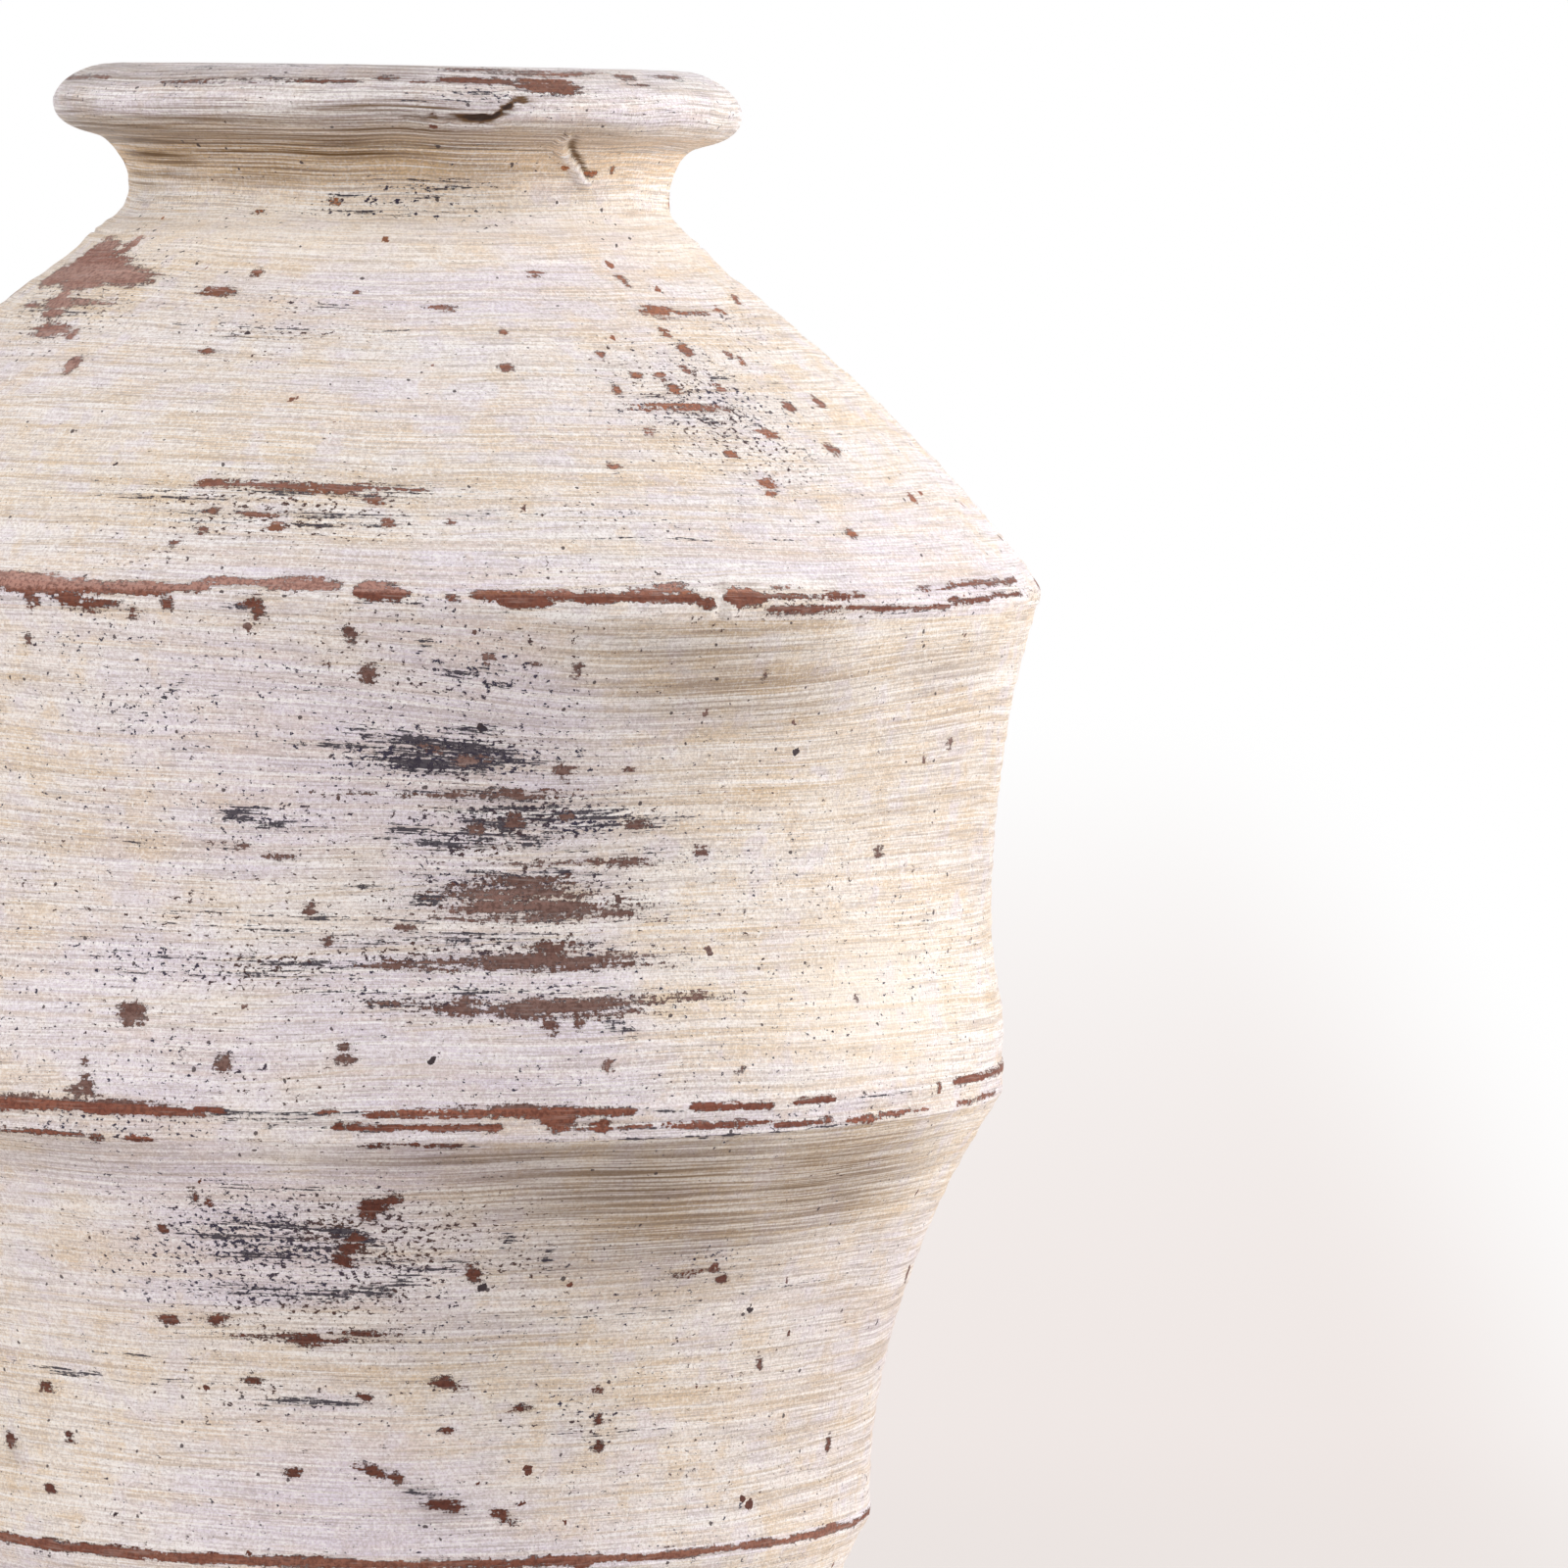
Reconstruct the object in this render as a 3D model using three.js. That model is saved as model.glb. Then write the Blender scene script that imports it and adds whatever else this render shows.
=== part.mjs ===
// A scalloped terracotta vase, 500 mm tall, built in storeys on the potter's wheel.
// A floor slab lies in a foot ring. Four thrown walls stand on it, one on another, then a neck collar
// and a rolled rim. Every seam is a tongue in a groove, bedded in a thin layer of liquid clay. A clay
// cordon is laid over the seam outside at each ridge, and a coil is pressed into the corner inside.
// Millimetres, +Z up. The origin is at the centre of the foot, on the ground.
import * as THREE from 'three';

const facets = 48; // flats round each ring
const outerSteps = 5; // straight steps along a wall's outer arc
const innerSteps = 4; // straight steps along a wall's inner arc
const slipGap = 0.3; // bed of liquid clay between two pieces

// Storeys, from the ground up
const footHeight = 14;
const footWallHeight = 91.9;
const waistWallHeight = 119.2;
const bellyWallHeight = 135.3;
const shoulderWallHeight = 91;
const neckHeight = 26.6;
const rimHeight = 22;

// Outer radii at the foot, the three ridges, the neck and the rim
const footRadius = 109;
const footStep = 2; // how far the foot ring stands out past the wall on it
const upperRidgeRadius = 175.1; // the widest place
const middleRidgeInset = 8.3; // how far the middle ridge stands in from the upper one
const lowerRidgeInset = 36.6; // how far the lower ridge stands in from the middle one
const neckSeamRadius = 83.5;
const rimSeamRadius = 79;
const rimReach = 15.4; // how far the rolled rim stands out past its seam
const mouthRadius = 64;

// How far each wall bows from the straight line between its ends: outwards is positive
const footWallBow = -6;
const waistWallBow = -8.6;
const bellyWallBow = -6.2;
const shoulderWallBow = 5.5;
const neckBow = -7.4;

// Walls and floor
const wallThickness = 10; // square to the wall, half way up
const seamWidth = 12; // a wall's edge at a seam, measured level
const floorThickness = 12;
const floorLift = 6; // height of the ledge that carries the floor
const floorLedge = 12; // how far the ledge reaches in under the floor
const rimRound = 8; // radius of the rim's inner lip
const footEase = 1.5; // chamfer at the foot's lower edge

// Tongue and groove at each seam
const tongueHeight = 3;
const tongueHalfWidth = 2.2;

// Cordons over the ridges, and coils inside the seams
const lowerCordonHeight = 4;
const middleCordonHeight = 9;
const upperCordonHeight = 5;
const cordonDepth = 3.5; // how deep a cordon is let into the walls
const cordonProud = 0.8; // how far a cordon stands out past the walls
const cordonShoulder = 0.7; // how far a cordon's edges fall back from its crest
const cordonNotch = 1; // depth of the groove that makes the middle cordon two bands
const coilHeight = 12;
const coilThickness = 5;
const coilEdge = 1.2; // thickness of a coil's smeared edges

// A seam: the height of its level plane, its outer and inner radii, and the cordon laid over it.
function seam(height, outer, inner, cordonHeight = 0) {
  const channel = cordonHeight > 0 ? outer - cordonDepth : outer;
  return { height, outer, inner, cordonHeight, channel, tongue: (channel + inner) / 2 };
}

const footSeamHeight = footHeight;
const lowerRidgeHeight = footSeamHeight + footWallHeight;
const middleRidgeHeight = lowerRidgeHeight + waistWallHeight;
const upperRidgeHeight = middleRidgeHeight + bellyWallHeight;
const neckSeamHeight = upperRidgeHeight + shoulderWallHeight;
const rimSeamHeight = neckSeamHeight + neckHeight;

const footWallRadius = footRadius - footStep;
const middleRidgeRadius = upperRidgeRadius - middleRidgeInset;
const lowerRidgeRadius = middleRidgeRadius - lowerRidgeInset;

const footSeam = seam(footSeamHeight, footWallRadius, footWallRadius - seamWidth);
const lowerRidge = seam(lowerRidgeHeight, lowerRidgeRadius, lowerRidgeRadius - seamWidth, lowerCordonHeight);
const middleRidge = seam(middleRidgeHeight, middleRidgeRadius, middleRidgeRadius - seamWidth, middleCordonHeight);
const upperRidge = seam(upperRidgeHeight, upperRidgeRadius, upperRidgeRadius - seamWidth, upperCordonHeight);
const neckSeam = seam(neckSeamHeight, neckSeamRadius, neckSeamRadius - seamWidth);
const rimSeam = seam(rimSeamHeight, rimSeamRadius, mouthRadius);

const terracotta = new THREE.MeshStandardMaterial({ color: 0x9a5f49, roughness: 0.9, metalness: 0 });
const limewash = new THREE.MeshStandardMaterial({ color: 0xe6ddd2, roughness: 0.75, metalness: 0 });
const wornEdge = new THREE.MeshStandardMaterial({ color: 0xb08672, roughness: 0.8, metalness: 0 });

const point = (radius, height) => new THREE.Vector2(radius, height);

// A closed section, listed anticlockwise with radius to the right, turned into a ring about Z.
function ring(name, section, material) {
  const first = section[0];
  const closed = first.x === 0 ? section : [...section, first.clone()];
  const geometry = new THREE.LatheGeometry(closed, facets);
  geometry.rotateX(Math.PI / 2);
  const mesh = new THREE.Mesh(geometry, material);
  mesh.name = name;
  return mesh;
}

// Points along the circular arc from a to b, ends included, that bows outwards by bow at its middle.
function arc(a, b, bow, steps) {
  const chord = b.clone().sub(a);
  const half = chord.length() / 2;
  const along = chord.normalize();
  const outward = point(along.y, -along.x);
  const middle = a.clone().add(b).multiplyScalar(0.5);
  const spread = 2 * Math.atan(bow / half) || Number.EPSILON; // half the angle that the arc turns through
  const radius = half / Math.sin(spread);
  const points = [];
  for (let i = 0; i <= steps; i += 1) {
    const angle = spread * ((2 * i) / steps - 1);
    points.push(
      middle
        .clone()
        .addScaledVector(along, radius * Math.sin(angle))
        .addScaledVector(outward, radius * (Math.cos(angle) - Math.cos(spread))),
    );
  }
  return points;
}

// The outer face of a wall, from the lower seam's cordon to the upper seam's.
function outerFace(lower, upper, bow) {
  const proud = (s) => (s.cordonHeight > 0 ? cordonProud : 0);
  const bottom = point(lower.outer - proud(lower), lower.height + Math.max(lower.cordonHeight, slipGap) / 2);
  const top = point(upper.outer - proud(upper), upper.height - Math.max(upper.cordonHeight, slipGap) / 2);
  return arc(bottom, top, bow, outerSteps);
}

// The inner face of a wall, which keeps wallThickness from the outer face half way up.
function innerFace(lower, upper, bow) {
  const bottom = point(lower.inner, lower.height + slipGap / 2);
  const top = point(upper.inner, upper.height - slipGap / 2);
  const chord = top.clone().sub(bottom).normalize();
  const outward = point(chord.y, -chord.x);
  const outerMiddle = point((lower.outer + upper.outer) / 2, (lower.height + upper.height) / 2);
  const innerMiddle = bottom.clone().add(top).multiplyScalar(0.5);
  const apart = outerMiddle.sub(innerMiddle).dot(outward);
  return arc(bottom, top, bow + apart - wallThickness, innerSteps);
}

// The groove in a wall's top edge, from the outer side to the inner side.
function groove(s) {
  const top = s.height - slipGap / 2;
  return [
    point(s.tongue + tongueHalfWidth, top),
    point(s.tongue, top - tongueHeight),
    point(s.tongue - tongueHalfWidth, top),
  ];
}

// The tongue under a wall, from the inner side to the outer side.
function tongue(s) {
  const bottom = s.height + slipGap / 2;
  return [
    point(s.tongue - tongueHalfWidth, bottom),
    point(s.tongue, bottom - tongueHeight),
    point(s.tongue + tongueHalfWidth, bottom),
  ];
}

// The two corners of the channel that holds the lower or upper half of a cordon.
function channelUp(s) {
  if (s.cordonHeight === 0) return [];
  return [point(s.channel, s.height + slipGap / 2), point(s.channel, s.height + s.cordonHeight / 2)];
}

function channelDown(s) {
  if (s.cordonHeight === 0) return [];
  return [point(s.channel, s.height - s.cordonHeight / 2), point(s.channel, s.height - slipGap / 2)];
}

// A thrown wall between two seams: a tongue below and a groove above.
function thrownWall(name, lower, upper, bow) {
  const section = [
    ...channelUp(lower),
    ...outerFace(lower, upper, bow),
    ...channelDown(upper),
    ...groove(upper),
    ...innerFace(lower, upper, bow).reverse(),
    ...tongue(lower),
  ];
  return ring(name, section, limewash);
}

// The foot ring: a flat ring with a ledge inside for the floor and a groove on top for the wall.
function footRing() {
  const rebate = footSeam.inner;
  const hole = rebate - floorLedge;
  const top = footSeam.height - slipGap / 2;
  const section = [
    point(hole, 0),
    point(footRadius - footEase, 0),
    point(footRadius, footEase),
    point(footRadius, top - footEase),
    point(footRadius - footEase, top),
    ...groove(footSeam),
    point(rebate, top),
    point(rebate, floorLift),
    point(hole, floorLift),
  ];
  return ring('foot_ring', section, limewash);
}

const floorBottom = floorLift + slipGap;
const floorTop = floorBottom + floorThickness;

// The floor: a round slab that lies on the foot ring's ledge, inside the wall.
function floorSlab() {
  const radius = footSeam.inner - slipGap;
  const section = [point(0, floorBottom), point(radius, floorBottom), point(radius, floorTop), point(0, floorTop)];
  return ring('floor_slab', section, terracotta);
}

// The rim: a roll that hangs out past the neck, flat on top, with a rounded lip into the mouth.
function rimRoll() {
  const bottom = rimSeam.height + slipGap / 2;
  const top = rimSeam.height + rimHeight;
  const half = (top - bottom) / 2;
  const section = [];
  const rollSteps = 8;
  for (let i = 0; i <= rollSteps; i += 1) {
    const angle = -Math.PI / 2 + (Math.PI * i) / rollSteps;
    section.push(point(rimSeamRadius + rimReach * Math.cos(angle), bottom + half + half * Math.sin(angle)));
  }
  const lipSteps = 3;
  for (let i = 0; i <= lipSteps; i += 1) {
    const angle = Math.PI / 2 + (Math.PI / 2) * (i / lipSteps);
    const radius = mouthRadius + rimRound + rimRound * Math.cos(angle);
    section.push(point(radius, top - rimRound + rimRound * Math.sin(angle)));
  }
  section.push(point(mouthRadius, bottom), ...tongue(rimSeam));
  return ring('rim_roll', section, limewash);
}

// A cordon: a flat strip of clay laid in the channel over a seam, with a low crest for each band.
function cordon(name, s, bands = 1) {
  const half = s.cordonHeight / 2 - slipGap;
  const back = s.channel + slipGap;
  const bandHeight = (2 * half) / bands;
  const section = [point(back, s.height - half)];
  for (let band = 0; band < bands; band += 1) {
    const low = s.height - half + band * bandHeight;
    const edge = s.outer - cordonShoulder;
    section.push(point(band === 0 ? edge : s.outer - cordonNotch, low));
    section.push(point(s.outer, low + bandHeight / 3), point(s.outer, low + (2 * bandHeight) / 3));
  }
  section.push(point(s.outer - cordonShoulder, s.height + half), point(back, s.height + half));
  return ring(name, section, wornEdge);
}

// The radius of a face, given as points from bottom to top, at a height.
function radiusAt(face, height) {
  const above = face.findIndex((p, i) => i > 0 && p.y >= height);
  const next = above < 0 ? face.length - 1 : above;
  const [a, b] = [face[next - 1], face[next]];
  return a.x + ((b.x - a.x) * (height - a.y)) / (b.y - a.y);
}

// A coil smeared over a seam inside the vase, which follows the walls below and above it.
function seamCoil(name, s, faceBelow, faceAbove) {
  const half = coilHeight / 2;
  const low = s.height - half;
  const high = s.height + half;
  const followed = [...faceBelow, ...faceAbove].filter((p) => p.y > low && p.y < high);
  const backLow = radiusAt(faceBelow, low) - slipGap;
  const backHigh = radiusAt(faceAbove, high) - slipGap;
  const section = [
    point(backLow, low),
    ...followed.map((p) => point(p.x - slipGap, p.y)),
    point(backHigh, high),
    point(backHigh - coilEdge, high),
    point(s.inner - slipGap - coilThickness, s.height),
    point(backLow - coilEdge, low),
  ];
  return ring(name, section, terracotta);
}

// The coil in the corner between the floor and the foot wall.
function floorCoil(wallFace) {
  const low = floorTop + slipGap;
  const high = low + coilHeight;
  const backLow = radiusAt(wallFace, low) - slipGap;
  const backHigh = radiusAt(wallFace, high) - slipGap;
  const section = [
    point(backLow - coilHeight, low),
    point(backLow, low),
    point(backHigh, high),
    point(backHigh - coilEdge, high),
    point((backLow + backHigh) / 2 - coilThickness, low + coilThickness),
    point(backLow - coilHeight, low + coilEdge),
  ];
  return ring('floor_coil', section, terracotta);
}

const footInner = innerFace(footSeam, lowerRidge, footWallBow);
const waistInner = innerFace(lowerRidge, middleRidge, waistWallBow);
const bellyInner = innerFace(middleRidge, upperRidge, bellyWallBow);
const shoulderInner = innerFace(upperRidge, neckSeam, shoulderWallBow);

const vase = new THREE.Group();
vase.add(
  footRing(),
  floorSlab(),
  thrownWall('foot_wall', footSeam, lowerRidge, footWallBow),
  thrownWall('waist_wall', lowerRidge, middleRidge, waistWallBow),
  thrownWall('belly_wall', middleRidge, upperRidge, bellyWallBow),
  thrownWall('shoulder_wall', upperRidge, neckSeam, shoulderWallBow),
  thrownWall('neck_collar', neckSeam, rimSeam, neckBow),
  rimRoll(),
  cordon('lower_cordon', lowerRidge),
  cordon('middle_cordon', middleRidge, 2),
  cordon('upper_cordon', upperRidge),
  floorCoil(footInner),
  seamCoil('lower_coil', lowerRidge, footInner, waistInner),
  seamCoil('middle_coil', middleRidge, waistInner, bellyInner),
  seamCoil('upper_coil', upperRidge, bellyInner, shoulderInner),
);

export default vase;
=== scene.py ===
import bpy
import numpy as np
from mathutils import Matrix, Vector


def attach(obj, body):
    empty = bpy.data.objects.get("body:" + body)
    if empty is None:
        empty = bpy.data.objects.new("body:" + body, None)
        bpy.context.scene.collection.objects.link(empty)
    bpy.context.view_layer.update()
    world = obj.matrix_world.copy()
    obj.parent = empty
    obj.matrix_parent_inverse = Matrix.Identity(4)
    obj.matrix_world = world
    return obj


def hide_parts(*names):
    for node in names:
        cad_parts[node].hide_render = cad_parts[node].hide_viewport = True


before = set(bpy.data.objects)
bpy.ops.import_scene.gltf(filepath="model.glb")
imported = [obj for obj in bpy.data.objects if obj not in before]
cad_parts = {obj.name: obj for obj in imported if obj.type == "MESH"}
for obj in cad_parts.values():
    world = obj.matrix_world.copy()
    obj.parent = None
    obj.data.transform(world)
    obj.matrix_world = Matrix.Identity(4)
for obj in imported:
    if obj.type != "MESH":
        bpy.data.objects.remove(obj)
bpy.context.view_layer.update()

# Foot ring. A turned ring of terracotta with a ledge inside for the floor, limewashed outside.
# It is the first thing made: everything else of the vase stands on it.
# Sizes in this file are in millimetres, and angles in degrees to the right of the front.
mm = 0.001
slip_gap = 0.3
tongue_height = 3.0
tongue_half_width = 2.2
strip_channel = 3.5
foot_radius = 109.0
foot_columns = 512
foot_ease = 1.5
foot_seam = dict(height=14.0, outer=107.0, inner=95.0, strip=0.0)
foot_ledge_height = 6.0
foot_ledge_reach = 12.0


def eased_outline(corners, ease, step):
    """A closed outline through the corners, anticlockwise. Each corner is cut back by ease and
    rounded with a quadratic curve, and the straight parts are divided at about step."""
    corners = np.array(corners, float)
    before = np.roll(corners, 1, axis=0) - corners
    after = np.roll(corners, -1, axis=0) - corners
    reach = np.minimum(np.linalg.norm(before, axis=1), np.linalg.norm(after, axis=1)) * 0.45
    cut = np.minimum(reach, ease)[:, None]
    start = corners + before / np.linalg.norm(before, axis=1)[:, None] * cut
    end = corners + after / np.linalg.norm(after, axis=1)[:, None] * cut
    t = np.linspace(0, 1, 5)[:, None]
    outline = []
    for corner, a, b, far in zip(corners, start, end, np.roll(start, -1, axis=0)):
        outline.append((1 - t) ** 2 * a + 2 * t * (1 - t) * corner + t ** 2 * b)
        parts = int(np.linalg.norm(far - b) / step)
        outline.append(b + (far - b) * (np.arange(1, parts)[:, None] / max(parts, 1)))
    return np.vstack(outline)


def seam_middle(seam):
    """The radius half way through a seam, inside the channel where a strip covers it."""
    return ((seam["outer"] - (strip_channel if seam["strip"] else 0.0)) + seam["inner"]) / 2


def groove_points(seam):
    """The groove in a wall's top edge, from the outer side to the inner side."""
    middle = seam_middle(seam)
    top = seam["height"] - slip_gap / 2
    return [
        (middle + tongue_half_width, top),
        (middle, top - tongue_height),
        (middle - tongue_half_width, top),
    ]


def lean(x, height):
    """The set of a hand-built vase. Every level sinks to the right by a slope that changes with
    height, and its centre wanders a little sideways. Returns the rise and the sideways shift."""
    slope_heights = [0, 14, 106, 225, 360, 451, 478, 500]
    slopes = [0, 0, -0.004, -0.002, -0.0225, -0.027, -0.020, -0.015]
    shift_heights = [0, 225, 330, 360, 405, 430, 451, 470, 500]
    shifts = [0, 0, 0.4, 1.5, 0.9, 0, 0.5, 1.2, 0]
    return np.interp(height, slope_heights, slopes) * x, np.interp(height, shift_heights, shifts)


def across_from(angle, at, radius):
    """How far right of the angle `at` each point lies, in millimetres round the vase."""
    return np.radians((angle - at + 180) % 360 - 180) * radius


def hand_noise(angle, along, around, pitch, seed):
    """Smooth seeded noise between -1 and 1: random values on a lattice with `around` cells round
    the vase and one cell per `pitch` along the wall, joined by smooth steps."""
    levels = 512
    lattice = np.random.default_rng(seed).uniform(-1, 1, (around, levels))
    u = (angle / 360.0) % 1.0 * around
    v = along / pitch + 100.0
    i = np.floor(u).astype(int)
    j = np.floor(v).astype(int)
    fu = u - i
    fv = v - j
    fu = fu * fu * (3 - 2 * fu)
    fv = fv * fv * (3 - 2 * fv)
    i0 = i % around
    i1 = (i + 1) % around
    j0 = j % levels
    j1 = (j + 1) % levels
    low = lattice[i0, j0] * (1 - fu) + lattice[i1, j0] * fu
    high = lattice[i0, j1] * (1 - fu) + lattice[i1, j1] * fu
    return low * (1 - fv) + high * fv


unmarked = -6.0


def mark_field(angle, height, radius, rise, marks):
    """How far inside the nearest mark each point lies, in millimetres, and negative outside, down
    to `unmarked`. A mark is (angle, height, width, depth, slant, strength): a flat oval whose edge
    falls off evenly. Slant and strength may be left out, and a low strength leaves the mark half
    worn. Rise is how much longer the wall is than it is high."""
    field = np.full(np.broadcast(angle, height).shape, unmarked)
    for mark in marks:
        at, level, width, depth = mark[:4]
        slant = np.radians(mark[4]) if len(mark) > 4 else 0.0
        across = across_from(angle, at, radius)
        up = (height - level) * rise
        u = across * np.cos(slant) + up * np.sin(slant)
        v = up * np.cos(slant) - across * np.sin(slant)
        reach = np.sqrt((2 * u / width) ** 2 + (2 * v / (depth * rise)) ** 2)
        strength = mark[5] if len(mark) > 5 else 1.0
        field = np.maximum(field, (0.3 + 0.28 * min(width, depth * rise)) * (strength - reach))
    return field


def line_field(angle, height, radius, lines):
    """How far inside the nearest rubbed line each point lies, in millimetres. A line is
    (from angle, to angle, height, half thickness). Its two ends are blunt, its upper edge is
    ragged and its lower edge runs nearly straight."""
    field = np.full(np.broadcast(angle, height).shape, unmarked)
    for start, end, level, half in lines:
        middle = (start + end) / 2
        off = np.abs((angle - middle + 180) % 360 - 180)
        taper = 0.8 + 1.5 * half
        left = ((end - start) / 2 - off) * np.pi / 180 * radius / taper
        wander = 0.3 * hand_noise(angle, height * 0 + level, 60, 10.0, int(level * 7) % 97)
        swell = half * (1 + 0.22 * hand_noise(angle, height * 0 + level, 110, 10.0, int(level * 13) % 89))
        swell = swell + 0.28 * hand_noise(angle, height, 480, 1.2, int(level * 17) % 83)
        blunt = np.where(left > 0, np.sqrt(np.clip(left, 0, 1)), np.clip(2 * left, unmarked, 0))
        up = height - level - wander
        even = 0.92 * half + 0.4 * (swell - half)
        field = np.maximum(field, np.minimum(swell * blunt - up, even * blunt + up))
    return field


def point_layer(mesh, name, values):
    """Keeps three numbers per point on a mesh, for its material to read."""
    layer = mesh.attributes.new(name, "FLOAT_VECTOR", "POINT")
    layer.data.foreach_set("vector", values.astype(np.float32).ravel())


def placed(name, data):
    """An object of the scene, at the origin, that holds a mesh, a lamp or a camera."""
    piece = bpy.data.objects.new(name, data)
    bpy.context.scene.collection.objects.link(piece)
    return piece


def turned_piece(name, section, columns, relief=None, wear=None, sharp=()):
    """A ring: the closed section (radius, height) turned about the vase's axis. A point at angle
    a sits at (r sin a, -r cos a, height), moved out along the section's normal by the relief and
    then set by the lean. The layer brush_path says where brush lines run, worn holds the depths of
    bared clay and of primer and the amount of specks, and the last layer holds the stain, which
    under the rim's roll and on the neck is largely painted shade, the ochre and whether the point
    is inside the vase. The sharp rows of the section keep a crisp edge."""
    section = np.asarray(section, float)
    rows = len(section)
    ahead = np.roll(section, -1, axis=0) - np.roll(section, 1, axis=0)
    ahead /= np.linalg.norm(ahead, axis=1)[:, None]
    angle = (np.arange(columns) * 360.0 / columns - 180.0)[:, None]
    radius = section[None, :, 0]
    height = section[None, :, 1]
    outward = np.zeros((columns, rows)) if relief is None else relief(angle, radius, height)
    round_off = 0.35 * np.sin(np.radians(2 * angle + 40)) + 0.2 * np.sin(np.radians(3 * angle))
    r = radius + outward * ahead[None, :, 1] + round_off
    z = height - outward * ahead[None, :, 0]
    turn = np.radians(angle)
    x = r * np.sin(turn)
    y = -r * np.cos(turn)
    rise, shift = lean(x, z)
    points = np.stack([x + shift, y, z + rise], axis=-1).reshape(-1, 3) * mm
    i, j = np.meshgrid(np.arange(columns), np.arange(rows), indexing="ij")
    i1 = (i + 1) % columns
    j1 = (j + 1) % rows
    quads = np.stack([i * rows + j, i1 * rows + j, i1 * rows + j1, i * rows + j1], axis=-1)
    mesh = bpy.data.meshes.new(name)
    mesh.vertices.add(len(points))
    mesh.vertices.foreach_set("co", points.astype(np.float32).ravel())
    mesh.loops.add(quads.size)
    mesh.loops.foreach_set("vertex_index", quads.astype(np.int32).ravel())
    mesh.polygons.add(columns * rows)
    mesh.polygons.foreach_set("loop_start", np.arange(0, quads.size, 4, dtype=np.int32))
    mesh.polygons.foreach_set("loop_total", np.full(columns * rows, 4, dtype=np.int32))
    mesh.update(calc_edges=True)
    mesh.shade_smooth()
    if len(sharp):
        ends = np.zeros(len(mesh.edges) * 2, np.int32)
        mesh.edges.foreach_get("vertices", ends)
        row = ends.reshape(-1, 2) % rows
        crisp = (row[:, 0] == row[:, 1]) & np.isin(row[:, 0], sharp)
        mesh.attributes.new("sharp_edge", "BOOLEAN", "EDGE").data.foreach_set("value", crisp)
    # Brush lines lie evenly along the section, wander slowly, and dip to the right in places.
    step = np.linalg.norm(np.roll(section, -1, axis=0) - section, axis=1)
    along = np.concatenate([[0], np.cumsum(step)])
    drift = 2.2 * hand_noise(angle, height, 7, 60.0, 3) + 0.8 * hand_noise(angle, height, 26, 30.0, 4)
    dip = 0.07 * radius * np.radians(angle + 20) * np.exp(-((angle - 15) / 26) ** 2)
    dip = dip * np.exp(-((height - 338) / 22) ** 2)
    level = section[0, 1] + along[None, :-1] + drift + dip
    point_layer(mesh, "brush_path", np.stack([x, y, level], axis=-1) * mm)
    if wear is not None:
        amounts = [np.broadcast_to(amount, (columns, rows)) for amount in wear(angle, radius, height)]
        point_layer(mesh, "worn", np.stack(amounts[:3], axis=-1))
        point_layer(mesh, "stain_and_painted_shade", np.stack(amounts[3:], axis=-1))
    # The baking map: two half turns lie one above the other, at nearly one scale both ways.
    half = columns // 2
    scale = 1.0 / max(np.pi * section[:, 0].max(), 2.04 * along[-1])
    u = (i % half)[..., None] + np.array([0, 1, 1, 0])
    v = np.stack([along[:-1], along[:-1], along[1:], along[1:]], axis=-1)[None]
    v = v * min(0.49 / along[-1], 4.0 * scale)
    u = 0.005 + 0.99 * u / half * np.minimum(1.0, np.pi * section[:, 0].max() * scale)
    v = v + 0.003 + np.where(i >= half, 0.5, 0.0)[..., None]
    uv = np.stack([u + 0 * v, v], axis=-1)
    mesh.uv_layers.new(name="OFBake").data.foreach_set("uv", uv.astype(np.float32).ravel())
    return placed(name, mesh)


def paint(red, green, blue):
    """A colour as the eye reads it, 0 to 255, turned to the light that it sends back."""
    c = np.array([red, green, blue]) / 255.0
    c = np.where(c <= 0.04045, c / 12.92, ((c + 0.055) / 1.055) ** 2.4)
    return (*c.tolist(), 1.0)


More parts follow.
